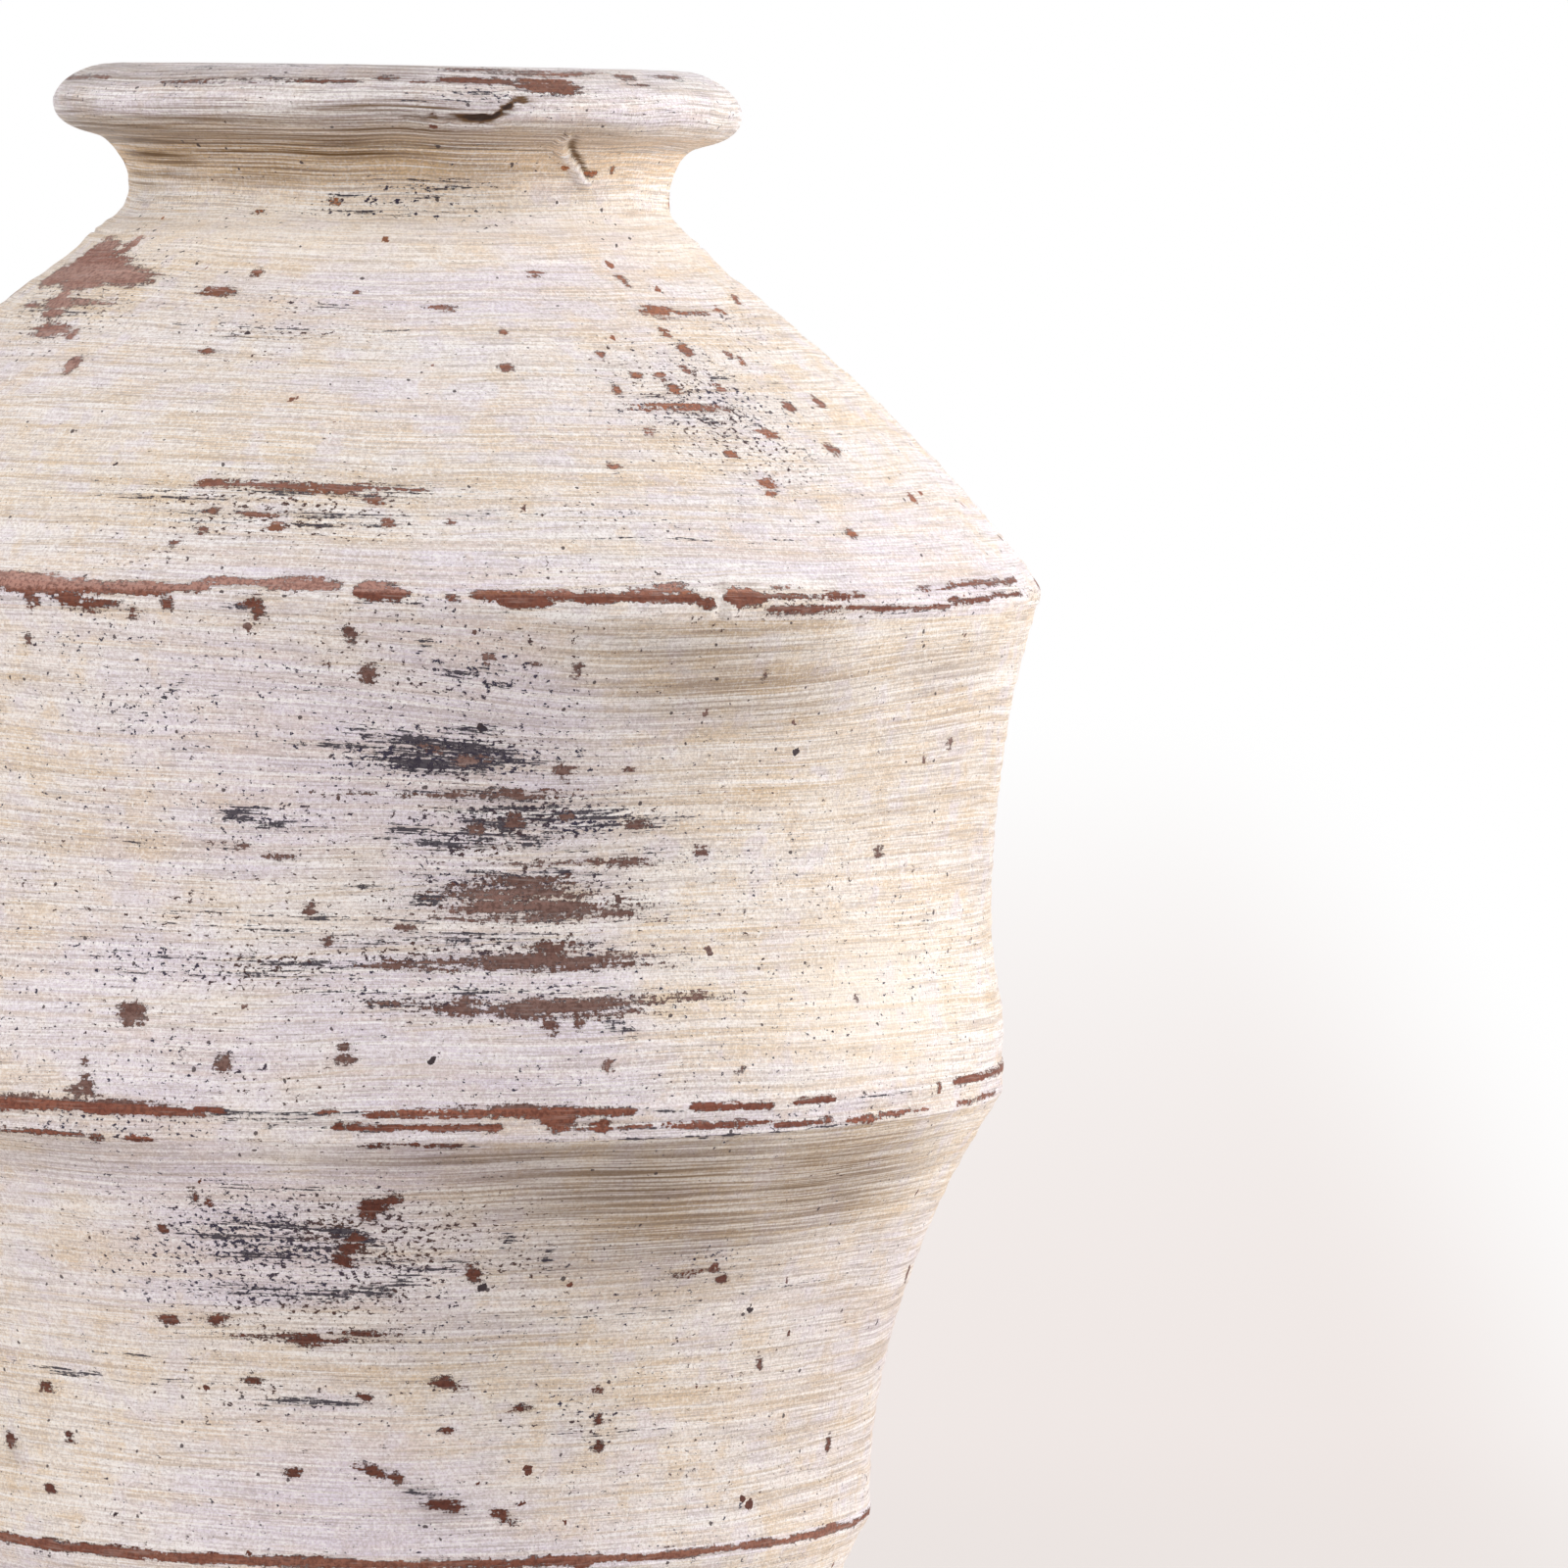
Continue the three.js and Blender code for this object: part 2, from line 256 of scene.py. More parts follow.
class FinishBook:
    """One node tree, written as a chain of layers. Each call adds a node and returns its output."""

    def __init__(self, owner):
        owner.use_nodes = True
        self.owner = owner
        self.tree = owner.node_tree
        self.shader = self.tree.nodes.get("Principled BSDF")

    def put(self, socket, value):
        if isinstance(value, bpy.types.NodeSocket):
            self.tree.links.new(value, socket)
        else:
            socket.default_value = value

    def layer(self, name):
        """The three numbers per point that a piece keeps under this name, together."""
        node = self.tree.nodes.new("ShaderNodeAttribute")
        node.attribute_name = name
        return node.outputs["Vector"]

    def place(self):
        return self.tree.nodes.new("ShaderNodeTexCoord").outputs["Object"]

    def split(self, vector):
        node = self.tree.nodes.new("ShaderNodeSeparateXYZ")
        self.put(node.inputs[0], vector)
        return node.outputs[0], node.outputs[1], node.outputs[2]

    def sum(self, how, a, b, c=0.0):
        node = self.tree.nodes.new("ShaderNodeMath")
        node.operation = how
        self.put(node.inputs[0], a)
        self.put(node.inputs[1], b)
        self.put(node.inputs[2], c)
        return node.outputs[0]

    def swayed(self, value, noise, amount):
        """The value moved up and down by a noise about its middle."""
        return self.sum("MULTIPLY_ADD", self.sum("SUBTRACT", noise, 0.5), amount, value)

    def moved(self, how, vector, factor, shift=(0, 0, 0)):
        node = self.tree.nodes.new("ShaderNodeVectorMath")
        node.operation = how
        self.put(node.inputs[0], vector)
        self.put(node.inputs[1], factor)
        self.put(node.inputs[2], shift)
        return node.outputs[0]

    def turned(self, vector, degrees):
        node = self.tree.nodes.new("ShaderNodeMapping")
        self.put(node.inputs["Vector"], vector)
        node.inputs["Rotation"].default_value = (0, np.radians(degrees), 0)
        return node.outputs[0]

    def noise(self, vector, scale, detail, rough=0.5):
        node = self.tree.nodes.new("ShaderNodeTexNoise")
        self.put(node.inputs["Vector"], vector)
        node.inputs["Scale"].default_value = scale
        node.inputs["Detail"].default_value = detail
        node.inputs["Roughness"].default_value = rough
        return node.outputs

    def grain(self, vector, scale, detail, rough):
        return self.noise(vector, scale, detail, rough)[0]

    def drawn(self, vector, around, up, detail, rough):
        """Grain drawn out along the brush lines: so many cells to a metre round and up the wall."""
        return self.grain(self.moved("MULTIPLY", vector, (around, around, up)), 1.0, detail, rough)

    def dots(self, vector, scale):
        node = self.tree.nodes.new("ShaderNodeTexVoronoi")
        self.put(node.inputs["Vector"], vector)
        node.inputs["Scale"].default_value = scale
        return node.outputs["Distance"], node.outputs["Color"]

    def ragged_dots(self, vector, stir, amount, scale):
        """Round dots with their places pushed about by a noise's colour, so that they come out
        ragged: the distance from the nearest one, and two numbers that chance gave it."""
        pushed = self.moved("MULTIPLY_ADD", stir, (amount, amount, amount), vector)
        far, chance = self.dots(pushed, scale)
        return (far, *self.split(chance)[:2])

    def between(self, value, low, high, least=0.0, most=1.0):
        """A soft step from least to most as the value goes from low to high."""
        node = self.tree.nodes.new("ShaderNodeMapRange")
        node.interpolation_type = "SMOOTHSTEP"
        self.put(node.inputs["Value"], value)
        self.put(node.inputs["From Min"], low)
        self.put(node.inputs["From Max"], high)
        node.inputs["To Min"].default_value = least
        node.inputs["To Max"].default_value = most
        return node.outputs[0]

    def over(self, amount, under, top):
        node = self.tree.nodes.new("ShaderNodeMix")
        node.data_type = "RGBA"
        self.put(node.inputs[0], amount)
        self.put(node.inputs[6], under)
        self.put(node.inputs[7], top)
        return node.outputs[2]

    def coats(self, under, *coats):
        """A colour under thin coats, from the lowest up. A coat is (colour, gate, ...), a gate is
        what `between` takes, and the coat is as thick as its gates multiplied."""
        for colour, *gates in coats:
            amount = self.between(*gates[0])
            for gate in gates[1:]:
                amount = self.sum("MULTIPLY", amount, self.between(*gate))
            under = self.over(amount, under, paint(*colour))
        return under

    def bump(self, height, strength, distance):
        node = self.tree.nodes.new("ShaderNodeBump")
        node.inputs["Strength"].default_value = strength
        node.inputs["Distance"].default_value = distance
        self.put(node.inputs["Height"], height)
        self.put(self.shader.inputs["Normal"], node.outputs[0])


def limewash_finish(name, cream=(236, 226, 221), clay=(150, 116, 104), ragged=1.0, gloss=0.0, hatch=0.52,
                    right_clay_with_painted_light=None, crest=None):
    """Chalky limewash brushed over a blue-black primer on fired clay. The clay shows where the
    bared depth, roughened by brush-shaped noise, is above nought. The primer shows as dry streaks
    and crumbs. Ochre lines, a lilac haze and an olive stain lie in the wash itself, which is fresh
    and whiter where the stain is below nought; under the rim's roll and on the neck the stain is
    largely painted shade. Ragged is how uneven the edges of bared clay are, gloss comes off the
    roughness, and hatch is how strongly single bristle lines show. The clay colour given for the
    right of the front is partly the clay's own orange and partly painted light: a fifth darker near
    the front, and full on the right, where the right light falls. Crest is the height in metres of
    a ridge line that is pink above, with lime dust, and deep red below, partly dirt and partly
    painted shade under the ridge's lower edge."""
    book = FinishBook(bpy.data.materials.new(name))
    brush = book.layer("brush_path")
    bared, primed, specked = book.split(book.layer("worn"))
    stain_and_painted_shade, ochre, inside = book.split(book.layer("stain_and_painted_shade"))
    place = book.place()
    right, _, level = book.split(place)
    lines = book.drawn(brush, 16, 1500, 3.0, 0.62)
    hairs = book.drawn(brush, 60, 2500, 2.0, 0.6)
    threads = book.drawn(brush, 10, 400, 1.0, 0.5)
    slanted = book.drawn(book.turned(brush, 5.0), 14, 700, 1.0, 0.5)
    patch = book.drawn(brush, 18, 110, 4.0, 0.6)
    haze = book.drawn(brush, 9, 30, 3.0, 0.55)
    dry = book.drawn(brush, 80, 1500, 4.0, 0.68)
    streak = book.drawn(brush, 80, 760, 5.0, 0.68)
    blot = book.grain(place, 90.0, 3.0, 0.6)
    crumb = book.grain(place, 640.0, 4.0, 0.7)
    grit = book.grain(place, 900.0, 4.0, 0.7)
    chalk = book.grain(place, 1350.0, 3.0, 0.75)
    # Where the wash has gone: the bared depth pushed about by streaks and crumbs
    rough = book.swayed(0.0, streak, 4.2 * ragged)
    rough = book.swayed(rough, crumb, 3.4 * ragged)
    rough = book.swayed(rough, chalk, 2.4 * ragged)
    bare_edge = book.sum("ADD", bared, rough)
    bare = book.between(bare_edge, -0.03, 0.06)
    # A dark rim round the bared clay: partly primer at the flaked edge, partly a painted shadow under the
    # flake's lip.
    primer_rim_and_painted_shadow = book.sum("MULTIPLY", book.between(bare_edge, -0.36, -0.24), book.between(blot, 0.4, 0.5))
    # Dry streaks of primer: more of them, the deeper a point lies in a primer mark
    deep = book.sum("MAXIMUM", primed, book.sum("SUBTRACT", bared, 0.3))
    streaky = book.sum("MULTIPLY_ADD", book.sum("MINIMUM", deep, 0.85), 0.12, dry)
    streaky = book.swayed(streaky, crumb, 0.5)
    streaky = book.swayed(streaky, specked, 0.06)
    primer = book.between(streaky, 0.565, 0.595)
    # Specks: crumbs of primer, thick where there are many specks, and pinholes and flakes
    crumbs = book.drawn(brush, 620, 900, 4.0, 0.62)
    gate = book.sum("MULTIPLY_ADD", specked, -0.15, 0.7)
    specks = book.between(crumbs, gate, book.sum("ADD", gate, 0.015))
    stir = book.noise(place, 520.0, 3.0)["Color"]
    hole, one, _ = book.ragged_dots(place, stir, 0.0016, 250.0)
    holes = book.sum("LESS_THAN", hole, book.between(one, 0.62, 1.0, 0.0, 0.15))
    flake, one, two = book.ragged_dots(place, stir, 0.0034, 84.0)
    flakes = book.sum("LESS_THAN", flake, book.between(one, 0.6, 1.0, 0.0, 0.115))
    # The wash, cream, and white where it lies thick
    wash = book.coats(
        paint(*cream),
        ((243, 238, 237), (patch, 0.5, 0.36, 0.0, 0.7)),
        # Lilac haze, and the ochre tint with its patches and blots
        ((226, 215, 229), (haze, 0.38, 0.54), (ochre, 0.6, 0.1)),
        ((238, 221, 197), (ochre, 0.25, 0.8, 0.0, 0.65)),
        ((230, 204, 170), (patch, 0.5, 0.62), (ochre, 0.0, 0.6, 0.15, 0.7)),
        ((230, 203, 168), (blot, 0.52, 0.64), (ochre, 0.1, 0.5, 0.15, 0.6)),
        ((227, 218, 233), (blot, 0.48, 0.36, 0.0, 0.5)),
        ((238, 203, 154), (ochre, 1.0, 2.3)),
        # Primer dust round the specks, ochre threads and slanted strokes
        ((190, 181, 196), (specked, 0.5, 1.3, 0.0, 0.6), (crumb, 0.42, 0.6)),
        ((212, 182, 142), (threads, 0.54, 0.66), (ochre, 0.0, 1.0, 0.25, 0.8)),
        ((206, 184, 158), (slanted, 0.58, 0.66, 0.0, 0.6), (haze, 0.56, 0.46)),
        # Bristle lines, dark and pale, coarse and fine, and the chalk's own grain
        ((190, 176, 170), (lines, 0.54, 0.64, 0.0, hatch)),
        ((252, 248, 246), (lines, 0.48, 0.37, 0.0, min(1.0, 1.4 * hatch))),
        ((160, 146, 142), (hairs, 0.54, 0.66, 0.0, hatch)),
        ((253, 251, 250), (hairs, 0.45, 0.34, 0.0, hatch)),
        ((184, 170, 164), (chalk, 0.52, 0.38, 0.0, 0.5)),
        ((253, 250, 248), (chalk, 0.53, 0.66, 0.0, 0.6)),
        ((190, 178, 172), (crumb, 0.48, 0.34, 0.0, 0.3)),
        ((250, 246, 244), (crumb, 0.54, 0.66, 0.0, 0.5)))
    # The stain goes over it, olive and then nearly black, and bristle lines are spared by it. Under the
    # rim's roll and on the neck this stain is largely painted shade.
    spared = book.between(lines, 0.42, 0.58, 0.34 if hatch > 0.6 else 0.5, 1.0)
    stain = book.sum("MULTIPLY", book.sum("MINIMUM", stain_and_painted_shade, 1.0), spared)
    wash = book.coats(
        book.over(stain, wash, paint(106, 79, 49)),
        ((106, 74, 46), (stain_and_painted_shade, 1.0, 1.35)),
        ((66, 44, 32), (stain_and_painted_shade, 1.35, 1.75)),
        ((254, 243, 230), (stain_and_painted_shade, 0.0, -1.0)))
    # The clay under it, with fine grit and a film of lime drawn out along the brush lines
    red = paint(*clay)
    # The clay right of the front: partly its own orange, and partly painted light, a fifth darker near the
    # front and full on the right, where the right light falls.
    if right_clay_with_painted_light is not None:
        red = book.coats(
            red,
            ([0.8 * c for c in right_clay_with_painted_light], (right, -0.068, -0.062)),
            (right_clay_with_painted_light, (right, 0.015, 0.045)))
    red = book.coats(
        red,
        ((0.86 * clay[0], 0.74 * clay[1], 0.7 * clay[2]), (patch, 0.54, 0.42, 0.0, 0.75)),
        ([min(255, 1.2 * c) for c in clay], (patch, 0.56, 0.66, 0.0, 0.6)))
    # Round the crest line: pink above, with lime dust, and deep red below, partly dirt and partly painted
    # shade under the ridge's lower edge.
    if crest is not None:
        level = book.swayed(level, crumb, 0.004)
        red = book.coats(
            red,
            ((190, 146, 134), (level, crest, crest + 0.0008, 0.0, 0.7),
             (level, crest + 0.005, crest + 0.004)),
            ((116, 64, 46), (level, crest - 0.0004, crest - 0.0014, 0.0, 0.75),
             (level, crest - 0.007, crest - 0.006)))
    red = book.coats(
        red,
        ((0.6 * clay[0], 0.5 * clay[1], 0.48 * clay[2]), (grit, 0.56, 0.4, 0.0, 0.65)),
        ([0.5 * c + 90 for c in clay], (dry, 0.53, 0.66, 0.0, 0.5)))
    # All of it together, and bare clay inside the vase
    dark = book.over(book.between(haze, 0.45, 0.56), paint(84, 60, 54), paint(56, 50, 70))
    colour = book.over(specks, wash, dark)
    colour = book.over(book.sum("MULTIPLY", holes, 0.9), colour, paint(66, 52, 54))
    colour = book.over(flakes, colour, book.over(book.between(two, 0.15, 0.3), paint(60, 48, 52), red))
    colour = book.over(book.sum("MULTIPLY", primer_rim_and_painted_shadow, 0.8), colour, paint(70, 52, 50))
    colour = book.over(book.sum("MULTIPLY", primer, 0.94), colour, paint(50, 43, 55))
    colour = book.over(bare, colour, red)
    inner = book.over(book.between(lines, 0.4, 0.6), paint(124, 76, 58), paint(150, 98, 76))
    book.put(book.shader.inputs["Base Color"], book.over(inside, colour, inner))
    book.put(book.shader.inputs["Roughness"], book.between(lines, 0.35, 0.65, 0.84 - gloss, 0.68 - gloss))
    book.shader.inputs["Specular IOR Level"].default_value = 0.35
    # Relief: brush ridges, the edge of the wash where it has flaked, and the grain of the clay
    gone = book.sum("MAXIMUM", bare, book.sum("MAXIMUM", primer, specks))
    relief = book.sum("MULTIPLY_ADD", gone, -0.9, book.sum("MULTIPLY", lines, 1.3 * hatch))
    relief = book.sum("MULTIPLY_ADD", hairs, 0.4, relief)
    relief = book.sum("MULTIPLY_ADD", chalk, 0.7, relief)
    book.bump(relief, 0.9, 0.00045)
    return book.owner


top = foot_seam["height"] - slip_gap / 2
rebate = foot_seam["inner"]
hole = rebate - foot_ledge_reach
foot_outline = eased_outline([
    (hole, 0), (foot_radius, 0), (foot_radius, top), *groove_points(foot_seam),
    (rebate, top), (rebate, foot_ledge_height), (hole, foot_ledge_height),
], foot_ease, 2.0)


def foot_relief(angle, radius, height):
    """Turning lines and slow unevenness on the ring's outside."""
    outside = radius > foot_seam["outer"] - 0.5
    uneven = 0.15 * hand_noise(angle, height, 24, 9.0, 11) + 0.1 * hand_noise(angle, height, 90, 3.0, 12)
    return uneven * outside


def foot_wear(angle, radius, height):
    """The lower edge is knocked and rubbed, where the vase is walked about on its foot."""
    edge = -0.9 - 0.45 * height + 1.6 * hand_noise(angle, height, 40, 6.0, 13)
    under = np.where(height < 0.4, 3.0, unmarked)
    inner = np.where(radius < foot_seam["outer"] - 1.5, 4.0, unmarked)
    bare = np.maximum(np.maximum(edge, under), inner)
    chips = mark_field(angle, height, foot_radius, 1.0, [
        (-38, 2, 7, 4), (14, 1, 9, 5), (63, 2, 6, 4), (118, 1, 10, 5), (171, 3, 6, 4), (232, 1, 8, 5)])
    none = bare * 0
    specks = 0.25 + 0.25 * hand_noise(angle, height, 30, 8.0, 14)
    return np.maximum(bare, chips), none + unmarked, specks, none, none + 0.5, none


foot_ring = turned_piece("turned_foot_ring", foot_outline, foot_columns, foot_relief, foot_wear)
foot_ring.data.materials.append(limewash_finish("limewash_foot_ring", clay=(140, 100, 84)))
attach(foot_ring, "root")
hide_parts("foot_ring")

# Floor. A beaten slab of bare terracotta that lies on the foot ring's ledge.
# It was laid in soft and its top shows the spiral of the finger that closed it down.
floor_bottom = foot_ledge_height + slip_gap
floor_top = floor_bottom + 12.0
floor_radius = rebate - slip_gap


def bare_clay_finish(name, dust=0.5):
    """Fired clay as it comes from the kiln: throwing lines, coarse grit and a film of dust."""
    book = FinishBook(bpy.data.materials.new(name))
    place = book.place()
    lines = book.drawn(book.layer("brush_path"), 10, 420, 4.0, 0.6)
    clouds = book.grain(place, 26.0, 4.0, 0.6)
    grit = book.grain(place, 560.0, 5.0, 0.7)
    pores, _ = book.dots(place, 420.0)
    clay = (150, 96, 74)
    red = book.coats(
        paint(*[0.84 * c for c in clay]),
        (clay, (clouds, 0.35, 0.65)),
        ((186, 134, 108), (grit, 0.5, 0.7, 0.0, 0.6)),
        ((84, 52, 42), (pores, 0.16, 0.08, 0.0, 0.7)),
        ((190, 158, 138), (lines, 0.5, 0.7, 0.0, dust)))
    book.put(book.shader.inputs["Base Color"], red)
    book.put(book.shader.inputs["Roughness"], book.between(grit, 0.3, 0.7, 0.95, 0.8))
    book.shader.inputs["Specular IOR Level"].default_value = 0.3
    book.bump(book.sum("MULTIPLY_ADD", grit, 0.5, book.sum("MULTIPLY", lines, 0.8)), 0.8, 0.0004)
    return book.owner


def disc_piece(name, radius, low, high):
    """A round slab in one closed skin: the section from the axis out along the underside, up the
    edge and back along the top. The top carries a shallow spiral of finger rings."""
    ease = 1.4
    steps = 40
    out = np.linspace(0.02, 1.0, steps)
    underside = np.stack([out * (radius - ease), np.full(steps, low)], axis=1)
    t = np.linspace(0, np.pi, 12)[1:-1]
    edge = np.stack([radius - ease + ease * np.sin(t),
                     (low + high) / 2 - (high - low) / 2 * np.cos(t)], axis=1)
    back = out[::-1][:, None] * (radius - ease)
    section = np.vstack([underside, edge, np.hstack([back, np.full((steps, 1), high)])])
    columns = 192
    rows = len(section)
    turn = np.radians(np.arange(columns) * 360.0 / columns - 180.0)[:, None]
    r = section[None, :, 0]
    z = section[None, :, 1]
    is_top = np.arange(rows)[None, :] >= rows - steps
    rings = 0.45 * np.sin(r * 0.62 + turn) * (r > 6) - 0.4 * (1 - np.cos(np.minimum(r / 30, np.pi)))
    z = z + np.where(is_top, np.minimum(rings, 0.3), 0.0)
    grid = np.stack([r * np.sin(turn), -r * np.cos(turn), z + 0 * turn], axis=-1).reshape(-1, 3)
    points = np.vstack([grid, [(0, 0, low), (0, 0, high)]]) * mm
    i, j = np.meshgrid(np.arange(columns), np.arange(rows - 1), indexing="ij")
    i1 = (i + 1) % columns
    quads = np.stack([i * rows + j, i1 * rows + j, i1 * rows + j + 1, i * rows + j + 1], axis=-1)
    k = np.arange(columns)
    k1 = (k + 1) % columns
    bottom_fan = np.stack([np.full(columns, len(grid)), k1 * rows, k * rows], axis=-1)
    top_fan = np.stack([np.full(columns, len(grid) + 1), k * rows + rows - 1, k1 * rows + rows - 1], axis=-1)
    faces = quads.reshape(-1, 4).tolist() + bottom_fan.tolist() + top_fan.tolist()
    mesh = bpy.data.meshes.new(name)
    mesh.from_pydata(points.tolist(), [], faces)
    mesh.update()
    mesh.shade_smooth()
    x, y, _ = points.T
    point_layer(mesh, "brush_path", np.stack([x, y, np.hypot(x, y)], axis=-1))
    return placed(name, mesh)


floor_slab = disc_piece("beaten_floor_slab", floor_radius, floor_bottom, floor_top)
floor_slab.data.materials.append(bare_clay_finish("bare_clay_floor"))
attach(floor_slab, "root")
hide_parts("floor_slab")

# Foot wall. The first storey, thrown in terracotta on the wheel and set on the foot ring in slip.
# A tongue turned on its lower edge sits in a groove in the ring, as at every seam above it.
wall_columns = 640
wall_thickness = 10.0
foot_wall_bow = -6.0
lower_ridge = dict(height=105.9, outer=130.2, inner=118.2, strip=4.0, proud=0.4)


def bowed_line(a, b, bow, steps):
    """Points on the circular arc from a to b, ends included, that bows out by bow half way."""
    a = np.array(a, float)
    b = np.array(b, float)
    half = np.linalg.norm(b - a) / 2
    along = (b - a) / (2 * half)
    out = np.array([along[1], -along[0]])
    spread = 2 * np.arctan(bow / half)
    turn = spread * np.linspace(-1, 1, steps)[:, None]
    swing = half / np.sin(spread)
    return (a + b) / 2 + swing * np.sin(turn) * along + swing * (np.cos(turn) - np.cos(spread)) * out


def inner_face(lower, upper, bow, steps=26):
    """A wall's inner face from bottom to top: an arc that keeps the wall's thickness half way up."""
    low = np.array([lower["inner"], lower["height"] + slip_gap / 2])
    high = np.array([upper["inner"], upper["height"] - slip_gap / 2])
    chord = (high - low) / np.linalg.norm(high - low)
    middle = np.array([lower["outer"] + upper["outer"], lower["height"] + upper["height"]]) / 2
    apart = (middle - (low + high) / 2) @ np.array([chord[1], -chord[0]])
    return bowed_line(low, high, bow + apart - wall_thickness, steps)


def outer_face(lower, upper, bow, steps):
    """A wall's outer face from bottom to top. It meets a strip at the strip's edge, and where no
    strip covers the seam it runs to the seam itself, smeared shut with slip."""
    def end(seam, side):
        return (seam["outer"] - seam.get("proud", 0.0), seam["height"] + side * seam["strip"] / 2)
    return bowed_line(end(lower, 1), end(upper, -1), bow, steps)


def wall_section(lower, upper, outer, inner):
    """A thrown wall's closed section: the outer face upwards, the grooved top edge, the inner face
    downwards, and the bottom edge with its tongue."""
    def edge(seam, level, end):
        """The corners between the face's end and the seam: the channel, or a small set-back."""
        if seam["strip"]:
            return [(seam["outer"] - strip_channel, end), (seam["outer"] - strip_channel, level)]
        return [(seam["outer"] - 1.0, level)]
    high = upper["height"] - slip_gap / 2
    base = lower["height"] + slip_gap / 2
    middle = seam_middle(lower)
    tongue = [(middle - tongue_half_width, base), (middle, base - tongue_height),
              (middle + tongue_half_width, base)]
    return np.vstack([outer, edge(upper, high, outer[-1, 1]), groove_points(upper), inner[::-1], tongue,
                      edge(lower, base, outer[0, 1])[::-1]])


def thrown_wall(name, lower, upper, outer, inner, relief, wear):
    """One storey: a wall thrown between two seams, crisp where its outer face begins and ends."""
    return turned_piece(name, wall_section(lower, upper, outer, inner), wall_columns, relief, wear,
                        sharp=[0, len(outer) - 1])


def face_ends(lower, upper):
    """The heights between which a wall's outer face lies bare, from strip to strip."""
    return lower["height"] + lower["strip"] / 2, upper["height"] - upper["strip"] / 2


def thrown_relief(lower, upper, seed):
    """Relief of a thrown wall, in millimetres outwards: finger rings that climb in a spiral, and
    slow dents of the hand. It dies away at both ends, where the wall meets its neighbours."""
    low, high = face_ends(lower, upper)

    def relief(angle, radius, height):
        sway = 1.4 * hand_noise(angle, height, 9, 40.0, seed)
        spiral = 0.13 * np.sin(height * 0.83 - np.radians(angle) + sway)
        spiral = spiral + 0.08 * np.sin(height * 1.57 + np.radians(2 * angle) + seed)
        dents = 0.4 * hand_noise(angle, height, 16, 45.0, seed + 1)
        dents = dents + 0.13 * hand_noise(angle, height, 120, 9.0, seed + 2)
        calm = np.clip(np.minimum(height - low, high - height) / 5.0, 0.0, 1.0)
        return (spiral + dents) * calm
    return relief


def oval_reach(angle, height, radius, at, level, width, depth):
    """The squared distance from the middle of an oval, where 1 is its edge."""
    return (2 * across_from(angle, at, radius) / width) ** 2 + (2 * (height - level) / depth) ** 2


def wall_wear(outer, rise, seed, bare_marks, primer_marks, speck_zones, stain_zones,
              ridge_lines=(), dark_lines=(), ochre=((0, 0.45),), dusting=0.3):
    """Wear of a wall: bared marks and primer marks listed for the side that the photograph shows,
    seeded ones of the same kinds round the back, and speck and stain zones as soft ovals (angle,
    height, width, depth, amount). A stain below nought is fresh wash. The ochre in the wash goes
    by (angle, amount) places round the vase, and dusting is the amount of specks everywhere.
    What lies deeper than the skin behind the outer face is the bare inside."""
    low = outer[:, 1].min()
    high = outer[:, 1].max()
    chance = np.random.default_rng(seed)
    around = [(chance.uniform(85, 275), chance.uniform(low + 3, high - 3), chance.uniform(1.5, 4.5),
               chance.uniform(1.2, 3.0), chance.uniform(-30, 30)) for _ in range(34)]
    wide = [(chance.uniform(95, 265), chance.uniform(low + 12, high - 10), chance.uniform(14, 44),
             chance.uniform(2.0, 5.5), chance.uniform(-3, 3)) for _ in range(8)]
    dark = [(a + chance.uniform(-6, 6), z + chance.uniform(-7, 7), w * 1.1, 1.6, 0)
            for a, z, w, _, _ in wide]
    round_wide = [(a, z, w * 2, h * 4, 0.7) for a, z, w, h, _ in wide]
    ochre_angles, ochre_amounts = zip(*ochre)
    skin = 4.5

    def wear(angle, radius, height):
        bare = mark_field(angle, height, radius, rise, list(bare_marks) + around + wide)
        primer = mark_field(angle, height, radius, rise, list(primer_marks) + dark)
        if ridge_lines:
            bare = np.maximum(bare, line_field(angle, height, radius, ridge_lines))
        if dark_lines:
            primer = np.maximum(primer, line_field(angle, height, radius, dark_lines) * 2.5)
        specks = dusting * (1 + 0.7 * hand_noise(angle, height, 11, 38.0, seed + 3))
        for *oval, much in list(speck_zones) + round_wide:
            specks = np.maximum(specks, much * np.exp(-oval_reach(angle, height, radius, *oval) * 0.8))
        stain = 0 * specks
        for *oval, much in stain_zones:
            shade = much * np.exp(-oval_reach(angle, height, radius, *oval))
            stain = np.maximum(stain, shade) if much > 0 else stain + shade
        warm = np.interp(angle, ochre_angles, ochre_amounts, period=360)
        warm = warm + 0.3 * hand_noise(angle, height, 6, 26.0, seed + 4)
        inner = np.where(radius < np.interp(height, outer[:, 1], outer[:, 0]) - skin, 1.0, 0.0)
        return bare, primer, specks, stain, np.clip(warm, 0.05, 1.0), inner
    return wear


